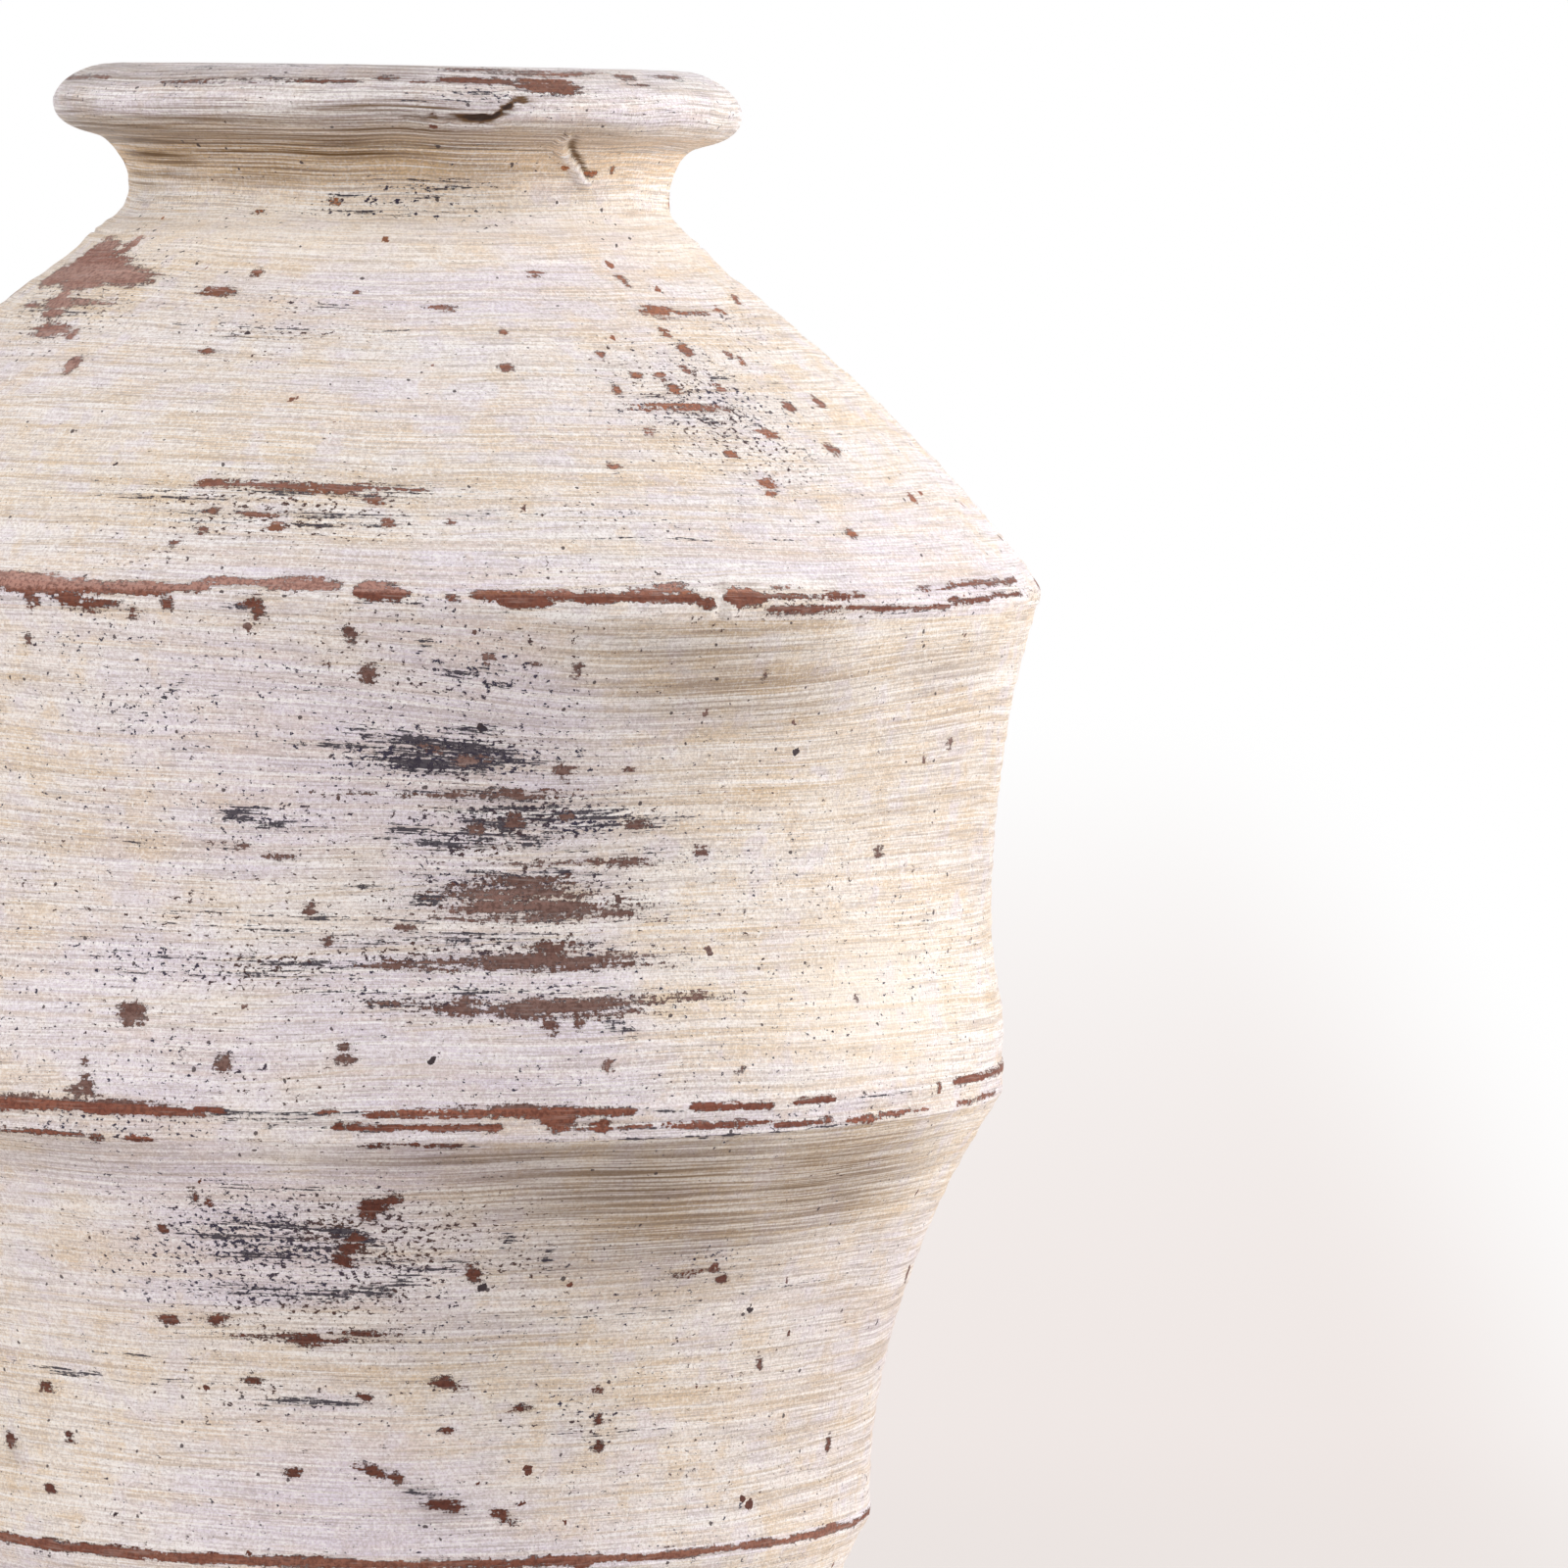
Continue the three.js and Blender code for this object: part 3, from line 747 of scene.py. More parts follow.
foot_outer = outer_face(foot_seam, lower_ridge, foot_wall_bow, 74)
foot_inner = inner_face(foot_seam, lower_ridge, foot_wall_bow)
lower_lines = [
    (-178, -60, 106.2, 1.2), (-64, -4, 106.5, 1.35), (-6, 34, 106.2, 1.1), (32, 66, 106.0, 1.0),
    (64, 100, 105.8, 0.65), (98, 184, 106.1, 1.1),
]
foot_bared = [(-24, 92, 5, 3), (31, 84, 4, 3), (8, 66, 6, 3), (-52, 58, 18, 4), (44, 38, 26, 4)]
foot_primed = [(10, 90, 26, 2), (-30, 70, 30, 2), (50, 52, 24, 2)]
foot_specked = [(0, 80, 60, 24, 0.6), (-50, 50, 50, 20, 0.5), (40, 40, 60, 18, 0.6)]
foot_stained = [(20, 96, 90, 16, 0.5), (0, 20, 900, 10, 0.35)]
foot_ochre = [(-60, 0.4), (0, 0.3), (50, 0.6), (120, 0.4), (200, 0.5)]
foot_wall = thrown_wall(
    "thrown_foot_wall", foot_seam, lower_ridge, foot_outer, foot_inner,
    thrown_relief(foot_seam, lower_ridge, 21),
    wall_wear(foot_outer, 1.03, 22, foot_bared, foot_primed, foot_specked, foot_stained,
              lower_lines, (), foot_ochre))
foot_wall.data.materials.append(limewash_finish("limewash_foot_wall", (234, 223, 217), (142, 102, 86)))
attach(foot_wall, "root")
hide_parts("foot_wall")

# Floor coil. A soft roll of terracotta pressed with a thumb into the corner inside,
# between the floor and the foot wall, so that the corner doesn't crack or leak.
coil_columns = 360


def coil_relief(pitch, seed):
    """Thumb prints: a row of shallow dents round the coil, and a little unevenness."""
    def relief(angle, radius, height):
        count = int(round(2 * np.pi * radius.mean() / pitch))
        dents = -0.55 * np.maximum(np.cos(np.radians(angle * count)), 0) ** 2
        return dents * 0.7 + 0.3 * hand_noise(angle, height, 90, 5.0, seed)
    return relief


low = floor_top + slip_gap
back_low = np.interp(low, foot_inner[:, 1], foot_inner[:, 0]) - slip_gap
back_high = np.interp(low + 12, foot_inner[:, 1], foot_inner[:, 0]) - slip_gap
floor_coil = turned_piece(
    "thumbed_floor_coil",
    eased_outline([(back_low - 12, low), (back_low, low), (back_high, low + 12), (back_high - 1.2, low + 12),
                   ((back_low + back_high) / 2 - 5, low + 5), (back_low - 12, low + 1.2)], 1.0, 1.2),
    coil_columns, coil_relief(14.0, 31))
floor_coil.data.materials.append(bare_clay_finish("bare_clay_floor_coil", dust=0.35))
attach(floor_coil, "root")
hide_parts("floor_coil")

# Waist wall. The second storey, hollowed between the lower and the middle ridge.
# Its wash is full of small black specks on the left of the front, and stained under the ridge.
waist_wall_bow = -8.6
middle_ridge = dict(height=225.1, outer=166.8, inner=154.8, strip=9.0, proud=0.8)
waist_outer = outer_face(lower_ridge, middle_ridge, waist_wall_bow, 96)
waist_inner = inner_face(lower_ridge, middle_ridge, waist_wall_bow)
middle_lines = [
    (-80, -37, 228.2, 2.0), (-40, -29, 228.5, 1.85), (-30, -22.5, 228.4, 1.7), (-24, -18.6, 228.0, 1.35),
    (-19, -15.5, 228.3, 0.7), (-7.3, -5.2, 228.9, 0.75), (-3.4, 0.2, 228.3, 0.6), (-0.4, 8.2, 228.3, 1.1),
    (7.8, 16.4, 228.8, 1.5), (16, 21.9, 228.1, 1.35), (27, 33, 228.2, 1.05), (32.5, 36.2, 228.0, 0.8),
    (38.5, 43.7, 228.0, 0.65), (63, 98, 228.2, 0.85), (96, 150, 227.9, 1.3), (146, 205, 228.3, 0.8),
    (200, 282, 228.1, 1.6), (-6, 9.5, 224.7, 0.75), (16, 24, 223.8, 0.35), (24, 30, 223.5, 0.9),
    (29.5, 36, 223.2, 0.75), (36, 43.6, 222.8, 0.7), (45, 49.5, 222.2, 1.0), (49.5, 58, 222.5, 0.45),
    (64, 78, 222.6, 0.4), (110, 160, 223.6, 0.7), (205, 250, 223.2, 0.6), (-3.6, 6, 219.9, 0.42),
    (-80, -29.5, 221.1, 0.45), (-29.2, -27.4, 220.4, 0.95), (-25.4, -22.2, 220.4, 0.65),
    (168, 230, 220.6, 0.5),
]
middle_dark_lines = [
    (-17, -6.3, 228.4, 0.55), (-15, -5, 226.9, 0.4), (-5.2, -3.4, 228.8, 0.25), (22.3, 27, 227.6, 0.3),
    (46.5, 55, 228.0, 0.35), (6, 13, 220.1, 0.25), (13, 25.5, 220.3, 0.32), (26, 33, 220.5, 0.34),
    (33, 40.5, 220.6, 0.38), (40, 45.5, 221.0, 0.25), (49.5, 53, 221.3, 0.3), (-19, -5, 228.0, 0.2),
]
middle_chips = [
    (8.7, 229.2, 3.2, 5.0), (14.4, 227.3, 10, 7.2), (14.5, 231.6, 2.0, 3.0), (18.5, 224.3, 4.2, 3.2),
    (60, 228.1, 2.2, 2.8), (-28.9, 232.4, 1.6, 4.8), (-28.9, 234.2, 2.6, 2.2), (-18, 227.4, 5, 1.8),
]
middle_scribbles = [
    (-15.6, 227.2, 7, 1.1, -14), (-12.5, 226.5, 8, 1.2, -10), (-9.3, 225.6, 8, 1.2, -10),
    (-6.6, 225.0, 6, 1.1, -6), (-15, 225.8, 5, 1.0, 30), (-11.5, 224.6, 6, 1.0, 24),
]
waist_bared = [
    (-2.7, 202.6, 6.4, 5.4), (-1.0, 205.0, 6.6, 3.4, 24), (-4.2, 194.6, 4.4, 3.2),
    (-4.8, 192.0, 4.4, 3.2), (-5.4, 188.2, 5.6, 3.4, -14), (-9.6, 166.6, 10, 3.6),
    (-4.2, 168.2, 14, 1.4, 4), (-19.8, 205.3, 2, 3), (-24, 195.5, 2.4, 2.4), (-18.4, 203.8, 2.2, 2.0),
    (31.4, 182.5, 8, 1.6, 8), (36, 180.4, 3, 2.4), (34.5, 183.6, 2.4, 2.0), (78.5, 172.3, 4, 5),
    (-2.6, 131.2, 8, 2.2, -18), (-0.3, 129.4, 5, 2.2, -34), (5.4, 121.6, 9, 2.6, -10),
    (12.0, 118.6, 7, 2.4, -20), (61.3, 129.6, 2.6, 4.4), (-11, 167, 30, 1.1), (-44.1, 149.6, 4.6, 1.8),
    (-51.8, 133.6, 4.2, 4.4), (-41.2, 136.4, 2.6, 2.8), (-45.2, 122.0, 3, 2.6), (-16.1, 154.8, 4, 2.2),
    (-3.6, 150.6, 3, 2.6), (-12.3, 130.2, 3.4, 2.2), (-10, 166.2, 8, 2.6), (-25.4, 170.6, 5, 2.2),
    (-19.6, 171.2, 5, 2.2), (7.6, 184.6, 3.4, 5.0, 30), (5.4, 154.8, 8.6, 2.6, -12),
    (13.4, 147.6, 4.6, 1.6), (5.4, 142.0, 2.8, 2.4), (44.4, 155.4, 2.4, 3.2, 40), (22.7, 151.8, 2.4, 2.0),
    (23, 143.8, 2.2, 2.2), (23.3, 136.6, 2.2, 2.2), (-60, 188, 8, 4),
]
waist_primed = [
    (-5.4, 196.0, 12, 4.2, -16), (-3.2, 193.4, 8, 2.6, -20), (-12, 197.6, 24, 1.8), (-16, 194.6, 26, 1.4),
    (-9, 192.0, 22, 1.6), (-4, 188.2, 28, 1.6), (-14, 189.4, 18, 1.6), (-16, 180.8, 16, 1.3),
    (-11.5, 178.8, 26, 1.6, 0, 1.2), (-5.8, 179.0, 13, 2.4, 6, 1.3), (-2.4, 180.2, 12, 3.0, 12, 1.3),
    (0.2, 182.6, 6, 2.4, 24, 1.3), (-11, 166.4, 44, 1.4), (4, 186.5, 12, 1.3), (11, 194, 5, 5),
    (15.2, 189.6, 3, 6), (-41, 154.6, 26, 2.2, -3, 1.2), (-37.6, 153.8, 14, 1.8, -3, 1.2),
    (-24, 153.6, 22, 0.9, 0, 1.2), (-8, 149, 30, 3), (4, 125, 12, 3), (22, 172.8, 28, 1.1),
    (44, 176.6, 40, 0.9, 3), (-30, 160, 24, 1.2), (24, 140, 26, 1.2), (-17.6, 210.2, 10, 1.2, -16),
    (-13.6, 208.6, 12, 1.2), (-8, 207.6, 16, 1.0),
]
waist_specked = [
    (-9, 193, 120, 34, 1.15), (-7, 196, 46, 14, 1.4), (-8, 203, 44, 10, 1.0), (-10, 180, 100, 20, 1.0),
    (-12, 168, 60, 8, 0.8), (12, 188, 40, 20, 0.75), (10, 150, 90, 30, 0.4), (30, 182, 40, 20, 0.5),
    (34, 186, 24, 8, 0.85), (-12, 228, 40, 8, 0.9), (-14, 150, 90, 20, 0.6), (22, 146, 30, 18, 0.8),
    (0, 172, 130, 30, 0.55),
]
waist_stained = [
    (24, 209, 130, 34, 0.9), (46, 206, 100, 36, 0.9), (30, 196, 120, 40, 0.75), (10, 216, 110, 9, 0.85),
    (5, 120, 18, 8, 0.4), (66, 160, 150, 120, 0.3), (20, 160, 90, 90, 0.14), (-34, 215, 100, 12, 0.4),
    (58, 190, 50, 34, 0.35), (1.5, 126, 14, 9, 0.3), (-51, 130, 10, 9, 0.3), (6, 168, 120, 40, 0.22),
    (30, 186, 30, 12, 0.5),
]
waist_ochre = [
    (-60, 0.45), (-30, 0.32), (-8, 0.12), (12, 0.45), (34, 0.6), (70, 0.5), (140, 0.4), (220, 0.5),
]
waist_wall = thrown_wall(
    "thrown_waist_wall", lower_ridge, middle_ridge, waist_outer, waist_inner,
    thrown_relief(lower_ridge, middle_ridge, 41),
    wall_wear(waist_outer, 1.05, 42, waist_bared, waist_primed, waist_specked, waist_stained,
              lower_lines + middle_lines, middle_dark_lines, waist_ochre, 0.25))
waist_wall.data.materials.append(
    limewash_finish("limewash_waist_wall", (246, 236, 230), (106, 60, 46), hatch=0.5))
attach(waist_wall, "root")
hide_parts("waist_wall")

# Lower coil. A soft coil of terracotta inside, to tie the first two storeys together.
# It was pressed on over the lower ridge's seam with a thumb and smeared on to both walls.


def seam_coil(name, seam, face_below, face_above, seed):
    """A thumbed coil over a seam: its back follows the walls below and above it, 0.3 mm off."""
    low = seam["height"] - 6.0
    high = seam["height"] + 6.0
    faces = np.vstack([face_below, face_above])
    followed = faces[(faces[:, 1] > low) & (faces[:, 1] < high)] - (slip_gap, 0)
    back_low = np.interp(low, face_below[:, 1], face_below[:, 0]) - slip_gap
    back_high = np.interp(high, face_above[:, 1], face_above[:, 0]) - slip_gap
    outline = eased_outline([
        (back_low, low), *followed.tolist(), (back_high, high), (back_high - 1.2, high),
        (seam["inner"] - slip_gap - 5.0, seam["height"]), (back_low - 1.2, low)], 1.0, 1.2)
    coil = turned_piece(name, outline, coil_columns, coil_relief(15.0, seed))
    coil.data.materials.append(bare_clay_finish("bare_clay_" + name, dust=0.35))
    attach(coil, "root")
    return coil


lower_coil = seam_coil("thumbed_lower_coil", lower_ridge, foot_inner, waist_inner, 32)
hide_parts("lower_coil")

# Lower strip. A narrow fillet of clay laid over the lower seam and pinched to a sharp lip.
# Hands and shelves have rubbed its crest down to the red clay all the way round.
strip_columns = 960


def strip_section(seam, profile):
    """A strip's closed section: a flat back in its channel, and an outer face through the profile's
    points (height above the seam, depth behind the crest), which meets both walls at its edges."""
    half = seam["strip"] / 2
    back = seam["outer"] - strip_channel + slip_gap
    wing = seam["outer"] - 1.8
    high = np.linspace(-half, half, 34)
    profile = np.array([(-half, seam["proud"]), *profile, (half, seam["proud"])])
    face = np.stack([seam["outer"] - np.interp(high, profile[:, 0], profile[:, 1]),
                     seam["height"] + high], axis=1)
    soft = face.copy()
    soft[1:-1, 0] = (face[:-2, 0] + 2 * face[1:-1, 0] + face[2:, 0]) / 4
    low = seam["height"] - half + slip_gap
    top = seam["height"] + half - slip_gap
    return np.vstack([[(back, low), (wing, low)], soft, [(wing, top), (back, top)]])


def strip_relief(seam, seed, breaks=(), lumps=()):
    """The crest wanders by a few tenths. Where the strip's two ends meet, both are lumpy and the
    gap between them is filled lower. A lump is (angle, height, half width, half depth, amount)."""
    def relief(angle, radius, height):
        half = seam["strip"] / 2
        outside = np.clip((half - np.abs(height - seam["height"])) / 0.7, 0, 1)
        outside = outside * (radius > seam["outer"] - 1.5)
        uneven = 0.2 * hand_noise(angle, height, 70, 9.0, seed)
        uneven = uneven + 0.16 * hand_noise(angle, height, 220, 2.5, seed + 1)
        for start, end in breaks:
            width = (end - start) / 2
            off = np.abs(angle - (start + end) / 2)
            uneven = uneven - 0.75 * np.clip(1.4 - off / width, 0, 1)
            lump = np.exp(-((off - width - 0.5) / 0.55) ** 2)
            uneven = uneven + 0.55 * lump * (1 + 0.5 * hand_noise(angle, height, 300, 2.0, seed + 2))
        for at, level, wide, deep, amount in lumps:
            oval = oval_reach(angle, height, radius, at, level, 2 * wide, 2 * deep)
            uneven = uneven + amount * np.exp(-oval ** 2)
        return (uneven - 0.15) * outside
    return relief


def strip_wear(lines, dark_lines, marks, primer_marks, seed, specks=0.25, stain=0.0):
    """Rubbed lines along a strip, each broken up and wandering, with chips and specks round them."""
    def wear(angle, radius, height):
        bare = line_field(angle, height, radius, lines)
        bare = np.maximum(bare, mark_field(angle, height, radius, 1.0, marks))
        primer = mark_field(angle, height, radius, 1.0, primer_marks)
        primer = np.maximum(primer, line_field(angle, height, radius, dark_lines) * 2.5)
        crumbs = specks + 0.35 * hand_noise(angle, height, 36, 8.0, seed)
        none = 0 * bare
        return bare, primer, np.clip(crumbs, 0, 1), none + stain, none + 0.3, none
    return wear


lower_profile = [(-1.3, 0.32), (-0.3, 0.06), (0.6, 0.0), (1.3, 0.2)]
lower_chips = [(-40, 107, 6, 3), (22, 105, 5, 3), (64, 107, 7, 2.4)]
lower_strip = turned_piece(
    "pinched_lower_strip", strip_section(lower_ridge, lower_profile), strip_columns,
    strip_relief(lower_ridge, 51), strip_wear(lower_lines, [], lower_chips, [], 52))
lower_strip.data.materials.append(limewash_finish("worn_lower_strip", (235, 224, 217), (142, 92, 74), 0.7))
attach(lower_strip, "root")
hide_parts("lower_cordon")

# Belly wall. The third and tallest storey, thrown in terracotta and hollowed like the waist.
# A black scuff and three brown ones with streaky edges lie right of the middle of its front.
belly_wall_bow = -6.2
upper_crest = 0.3636
upper_ridge = dict(height=360.4, outer=175.1, inner=163.1, strip=6.4, proud=1.15)
belly_outer = outer_face(middle_ridge, upper_ridge, belly_wall_bow, 108)
belly_inner = inner_face(middle_ridge, upper_ridge, belly_wall_bow)
upper_lines = [
    (-80, -29.5, 363.0, 2.4), (-30.5, -19.5, 362.8, 1.6), (-20.5, -16.8, 363.4, 1.0),
    (-17.4, -11.5, 365.6, 0.8), (-12.2, -5.0, 365.0, 1.35), (-4.2, 0.6, 363.6, 2.2),
    (5.7, 12.6, 363.4, 1.1), (8.0, 12.8, 361.8, 1.5), (12.1, 15.2, 363.6, 1.2), (14.6, 19.0, 363.0, 1.9),
    (18.4, 23.3, 363.5, 1.6), (23.0, 26.4, 363.6, 1.4), (25.7, 27.7, 361.9, 1.3),
    (28.6, 32.9, 363.2, 2.2), (32.4, 44, 363.5, 0.45), (32.6, 39.5, 360.2, 0.9), (39, 45, 360.3, 0.6),
    (44.5, 56, 360.1, 0.65), (55.6, 63.6, 361.3, 0.7), (64, 73, 362.0, 0.3), (51.5, 57.4, 364.9, 0.3),
    (57.2, 74, 365.4, 0.55), (84, 142, 363.2, 1.3), (128, 204, 362.0, 1.9), (190, 252, 360.2, 0.9),
    (213, 282, 363.6, 1.5), (250, 282, 360.2, 0.8),
]
upper_dark_lines = [
    (-4.2, 1.6, 360.8, 0.3), (4.8, 6.4, 364.2, 0.3), (8, 12, 359.3, 0.3), (44, 56, 358.8, 0.25),
]
upper_chips = [
    (-33.8, 359.4, 2.2, 5.2), (-30.0, 359.4, 6.4, 3.4), (-26.9, 358.3, 11.5, 2.6), (-29.2, 358.6, 4, 2.4),
    (-23.6, 356.8, 1.8, 2.4), (-20.4, 359.6, 3.6, 3.6), (-12.8, 360.0, 5.2, 3.0),
    (-12.4, 358.2, 2.4, 3.4), (4.2, 362.9, 2.4, 1.8), (-30.8, 365.9, 18, 1.6), (-8.0, 367.4, 4.4, 1.8),
    (-33, 358.0, 1.8, 2.2),
]


def belly_relief(angle, radius, height):
    """The thrown relief, and a low swell round the foot of the belly, where it was set down soft."""
    foot, _ = face_ends(middle_ridge, upper_ridge)
    swell = 1.6 * np.exp(-((height - 243) / 13) ** 2) * np.clip((height - foot) / 5, 0, 1)
    return thrown_relief(middle_ridge, upper_ridge, 61)(angle, radius, height) + swell


belly_bared = [
    (-4.5, 353.3, 2.6, 2.4), (-4.3, 350.9, 2.6, 2.8), (-2.8, 342.8, 4.2, 4.2), (-6.4, 344.1, 2.0, 1.8),
    (7.6, 347.6, 3.2, 3.0), (11.7, 345.0, 1.6, 1.8), (15.5, 344.0, 2.0, 2.4), (33.7, 342.6, 2.2, 2.8),
    (2.2, 323.6, 2.4, 1.6), (6.0, 320.2, 5, 3.0), (3.6, 323.2, 2.4, 1.6), (7.8, 321.2, 3, 1.4),
    (14.9, 317.4, 4, 3.2), (7.2, 311.2, 34, 1.2, 0, 1.1), (10.2, 311.6, 14, 2.2), (5.8, 312.2, 4, 1.6),
    (10.4, 304.2, 3.6, 3.4), (7, 302.4, 3.4, 4), (15.2, 305.8, 3, 2.4), (22, 303.4, 4, 1.6),
    (15, 293.6, 34, 1.0, 0, 0.9), (21.5, 293.4, 10, 1.6), (18, 294.0, 4, 1.8), (13, 293.8, 5, 1.6),
    (11, 288.8, 34, 3.6, 0, 0.62), (10.6, 285.2, 42, 4.4, 0, 0.75), (12.4, 281.6, 50, 3.8, 0, 0.9),
    (10, 283, 56, 8, 0, 0.35), (20.8, 280.2, 7, 2.0), (12, 278.2, 34, 0.8),
    (12.4, 267.4, 62, 4.4, 0, 0.85), (14.2, 270.8, 13, 4.2, 0, 0.8), (-0.6, 266.8, 9, 2.0),
    (5.7, 255.5, 10, 4.8), (14.6, 255.4, 42, 4.8, 0, 0.9), (25, 257.6, 24, 1.2), (1.4, 256.6, 12, 1.2),
    (13.8, 250.6, 4.4, 3.6), (16.4, 251.2, 2.4, 2.4), (-24.9, 252.6, 8, 5.4), (-15.8, 240.6, 4.0, 4.4),
    (-4.9, 245.6, 2.4, 2.6), (-4.8, 242.4, 3.8, 2.6), (-29.6, 239.4, 2.4, 2.6), (-29.3, 234.2, 3, 3.6),
    (-30, 232.2, 5, 1.8), (19.1, 240.0, 2.2, 3.0, 30), (32.5, 237.6, 2.4, 1.8), (47.2, 254.3, 2.4, 2.6),
    (50.8, 293.5, 3, 2.6), (28.8, 295.5, 3.2, 2.4), (-34.4, 348.8, 2.2, 2.8), (-11, 294.4, 5, 1.8),
    (-14.2, 296.6, 3, 1.4), (-17, 297.4, 6, 1.0), (-8, 280.6, 2.6, 3.0), (-6.4, 272.8, 2.8, 3.2),
    (-48, 300, 12, 3), (-58, 270, 20, 4), (62, 322, 3, 3), (21, 318, 2.2, 2), (0.4, 276.4, 3.4, 2.2),
]
belly_primed = [
    (5.0, 322.9, 40, 6.4, -9), (2.6, 323.6, 26, 6.4, -6), (8.6, 321.4, 18, 5.0, -8),
    (3.2, 319.2, 28, 4.6, -4), (-3.4, 323.6, 22, 1.8), (-1.6, 325.4, 12, 2.4, -20),
    (12.0, 319.6, 16, 1.2, -6), (5.5, 343.0, 14, 3.2), (8.5, 340.6, 12, 2.0), (2, 351, 5, 3.4),
    (6.6, 328.5, 14, 2.4), (7.2, 311.6, 34, 2.4), (12, 309.6, 24, 1.2), (11, 307.4, 40, 1.8),
    (17.5, 304.6, 40, 2.0), (6.5, 300.6, 40, 2.0), (10.0, 303.4, 10, 6.0), (7.0, 302.6, 6, 7.0),
    (15.0, 305.6, 24, 2.6), (4.6, 298.4, 26, 1.8), (12.5, 299.0, 14, 2.0), (0.6, 301.6, 8, 3.0),
    (21, 303.2, 16, 1.6), (-14, 305.4, 12, 4.6), (-11, 302.8, 16, 2.4), (8, 278.4, 88, 1.4),
    (-12, 279.0, 44, 1.2), (7, 274.5, 64, 1.4), (4, 272.2, 52, 1.2), (-8, 266.6, 44, 2.0),
    (-22, 267.6, 30, 1.2), (5, 259.8, 78, 1.0), (-1, 256.6, 16, 2.2), (-14, 263.6, 40, 1.0),
    (11, 290.8, 40, 1.6), (2.5, 283.8, 14, 3.4), (-4, 287.0, 20, 1.3), (-16.5, 275.8, 34, 1.0),
    (-16, 297.0, 10, 1.4), (16, 296.8, 26, 1.2), (24, 296.4, 12, 1.2), (-22, 333, 16, 0.9, 38),
    (-20, 338, 12, 0.9, 40), (19.5, 250.6, 3, 6, 30), (21, 249.4, 3, 6, 60), (-6, 338.5, 10, 1.2),
    (-24, 297, 8, 1.2), (60, 273, 26, 0.9), (-30, 271, 20, 1.0),
]
belly_specked = [
    (4, 321, 64, 15, 1.3), (4, 322, 96, 26, 0.85), (7, 342, 56, 18, 0.85), (12, 304, 84, 14, 1.15),
    (8, 299, 60, 12, 1.0), (10, 286, 80, 16, 1.05), (8, 270, 110, 16, 0.95), (8, 257, 96, 14, 0.95),
    (-12, 304, 70, 20, 0.7), (-18, 285, 90, 50, 0.5), (-14, 266, 90, 18, 0.85), (-24, 334, 60, 30, 0.6),
    (-28, 350, 60, 20, 0.5), (-18, 240, 90, 24, 0.6), (30, 320, 60, 50, 0.3), (55, 275, 60, 24, 0.45),
    (10, 236, 90, 14, 0.5),
]
belly_stained = [
    (26, 350, 84, 18, 0.62), (30, 338, 90, 26, 0.56), (60, 344, 90, 24, 0.34), (14, 325, 110, 60, 0.16),
    (66, 285, 170, 140, 0.3), (20, 300, 60, 40, 0.12), (52, 256, 120, 72, -0.6),
]
belly_ochre = [
    (-60, 0.42), (-30, 0.3), (-5, 0.1), (12, 0.15), (26, 0.55), (45, 0.65), (75, 0.55), (140, 0.4),
    (220, 0.45),
]
belly_wall = thrown_wall(
    "thrown_belly_wall", middle_ridge, upper_ridge, belly_outer, belly_inner, belly_relief,
    wall_wear(belly_outer, 1.01, 62, belly_bared + upper_chips, belly_primed, belly_specked, belly_stained,
              middle_lines + upper_lines, middle_dark_lines + upper_dark_lines, belly_ochre, 0.36))
belly_wall.data.materials.append(
    limewash_finish("limewash_belly_wall", (241, 231, 227), (124, 94, 86), 1.3, crest=upper_crest))
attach(belly_wall, "root")
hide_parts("belly_wall")

# Middle coil. A soft coil of terracotta inside, between the waist and the belly.
# It was thumbed over the middle ridge's seam as the lower one was.
middle_coil = seam_coil("thumbed_middle_coil", middle_ridge, waist_inner, belly_inner, 33)
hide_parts("middle_coil")

# Middle strip. A broad strip over the middle seam, tooled along its middle into two bands.
# Its upper arris is the sharpest edge of the vase, and is rubbed into three broken red lines.
middle_profile = [
    (-4.1, 0.45), (-2.4, 0.35), (-0.9, 0.45), (-0.3, 0.95), (0.3, 0.6), (1.4, 0.2), (3.4, 0.0), (4.0, 0.15),
]
middle_lumps = [(11.3, 225.6, 3.6, 1.8, 0.6), (2.5, 221.8, 12, 1.0, 0.3), (20, 226.2, 4, 1.4, 0.3)]
middle_strip = turned_piece(
    "tooled_middle_strip", strip_section(middle_ridge, middle_profile), strip_columns,
    strip_relief(middle_ridge, 71, (), middle_lumps),
    strip_wear(middle_lines, middle_dark_lines, middle_chips, middle_scribbles, 72, 0.42, 0.08))
middle_strip.data.materials.append(limewash_finish("worn_middle_strip", (241, 231, 226), (138, 84, 66), 0.9))
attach(middle_strip, "root")
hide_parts("middle_cordon")

# Shoulder wall. The fourth storey, thrown as a cone that swells a little and closes in to the neck.
# Large mauve-brown scuffs lie far left, and a scatter of slanted chips on the right.
shoulder_wall_bow = 5.5
neck_seam = dict(height=451.4, outer=83.5, inner=71.5, strip=0.0)
shoulder_outer = outer_face(upper_ridge, neck_seam, shoulder_wall_bow, 104)
shoulder_inner = inner_face(upper_ridge, neck_seam, shoulder_wall_bow)


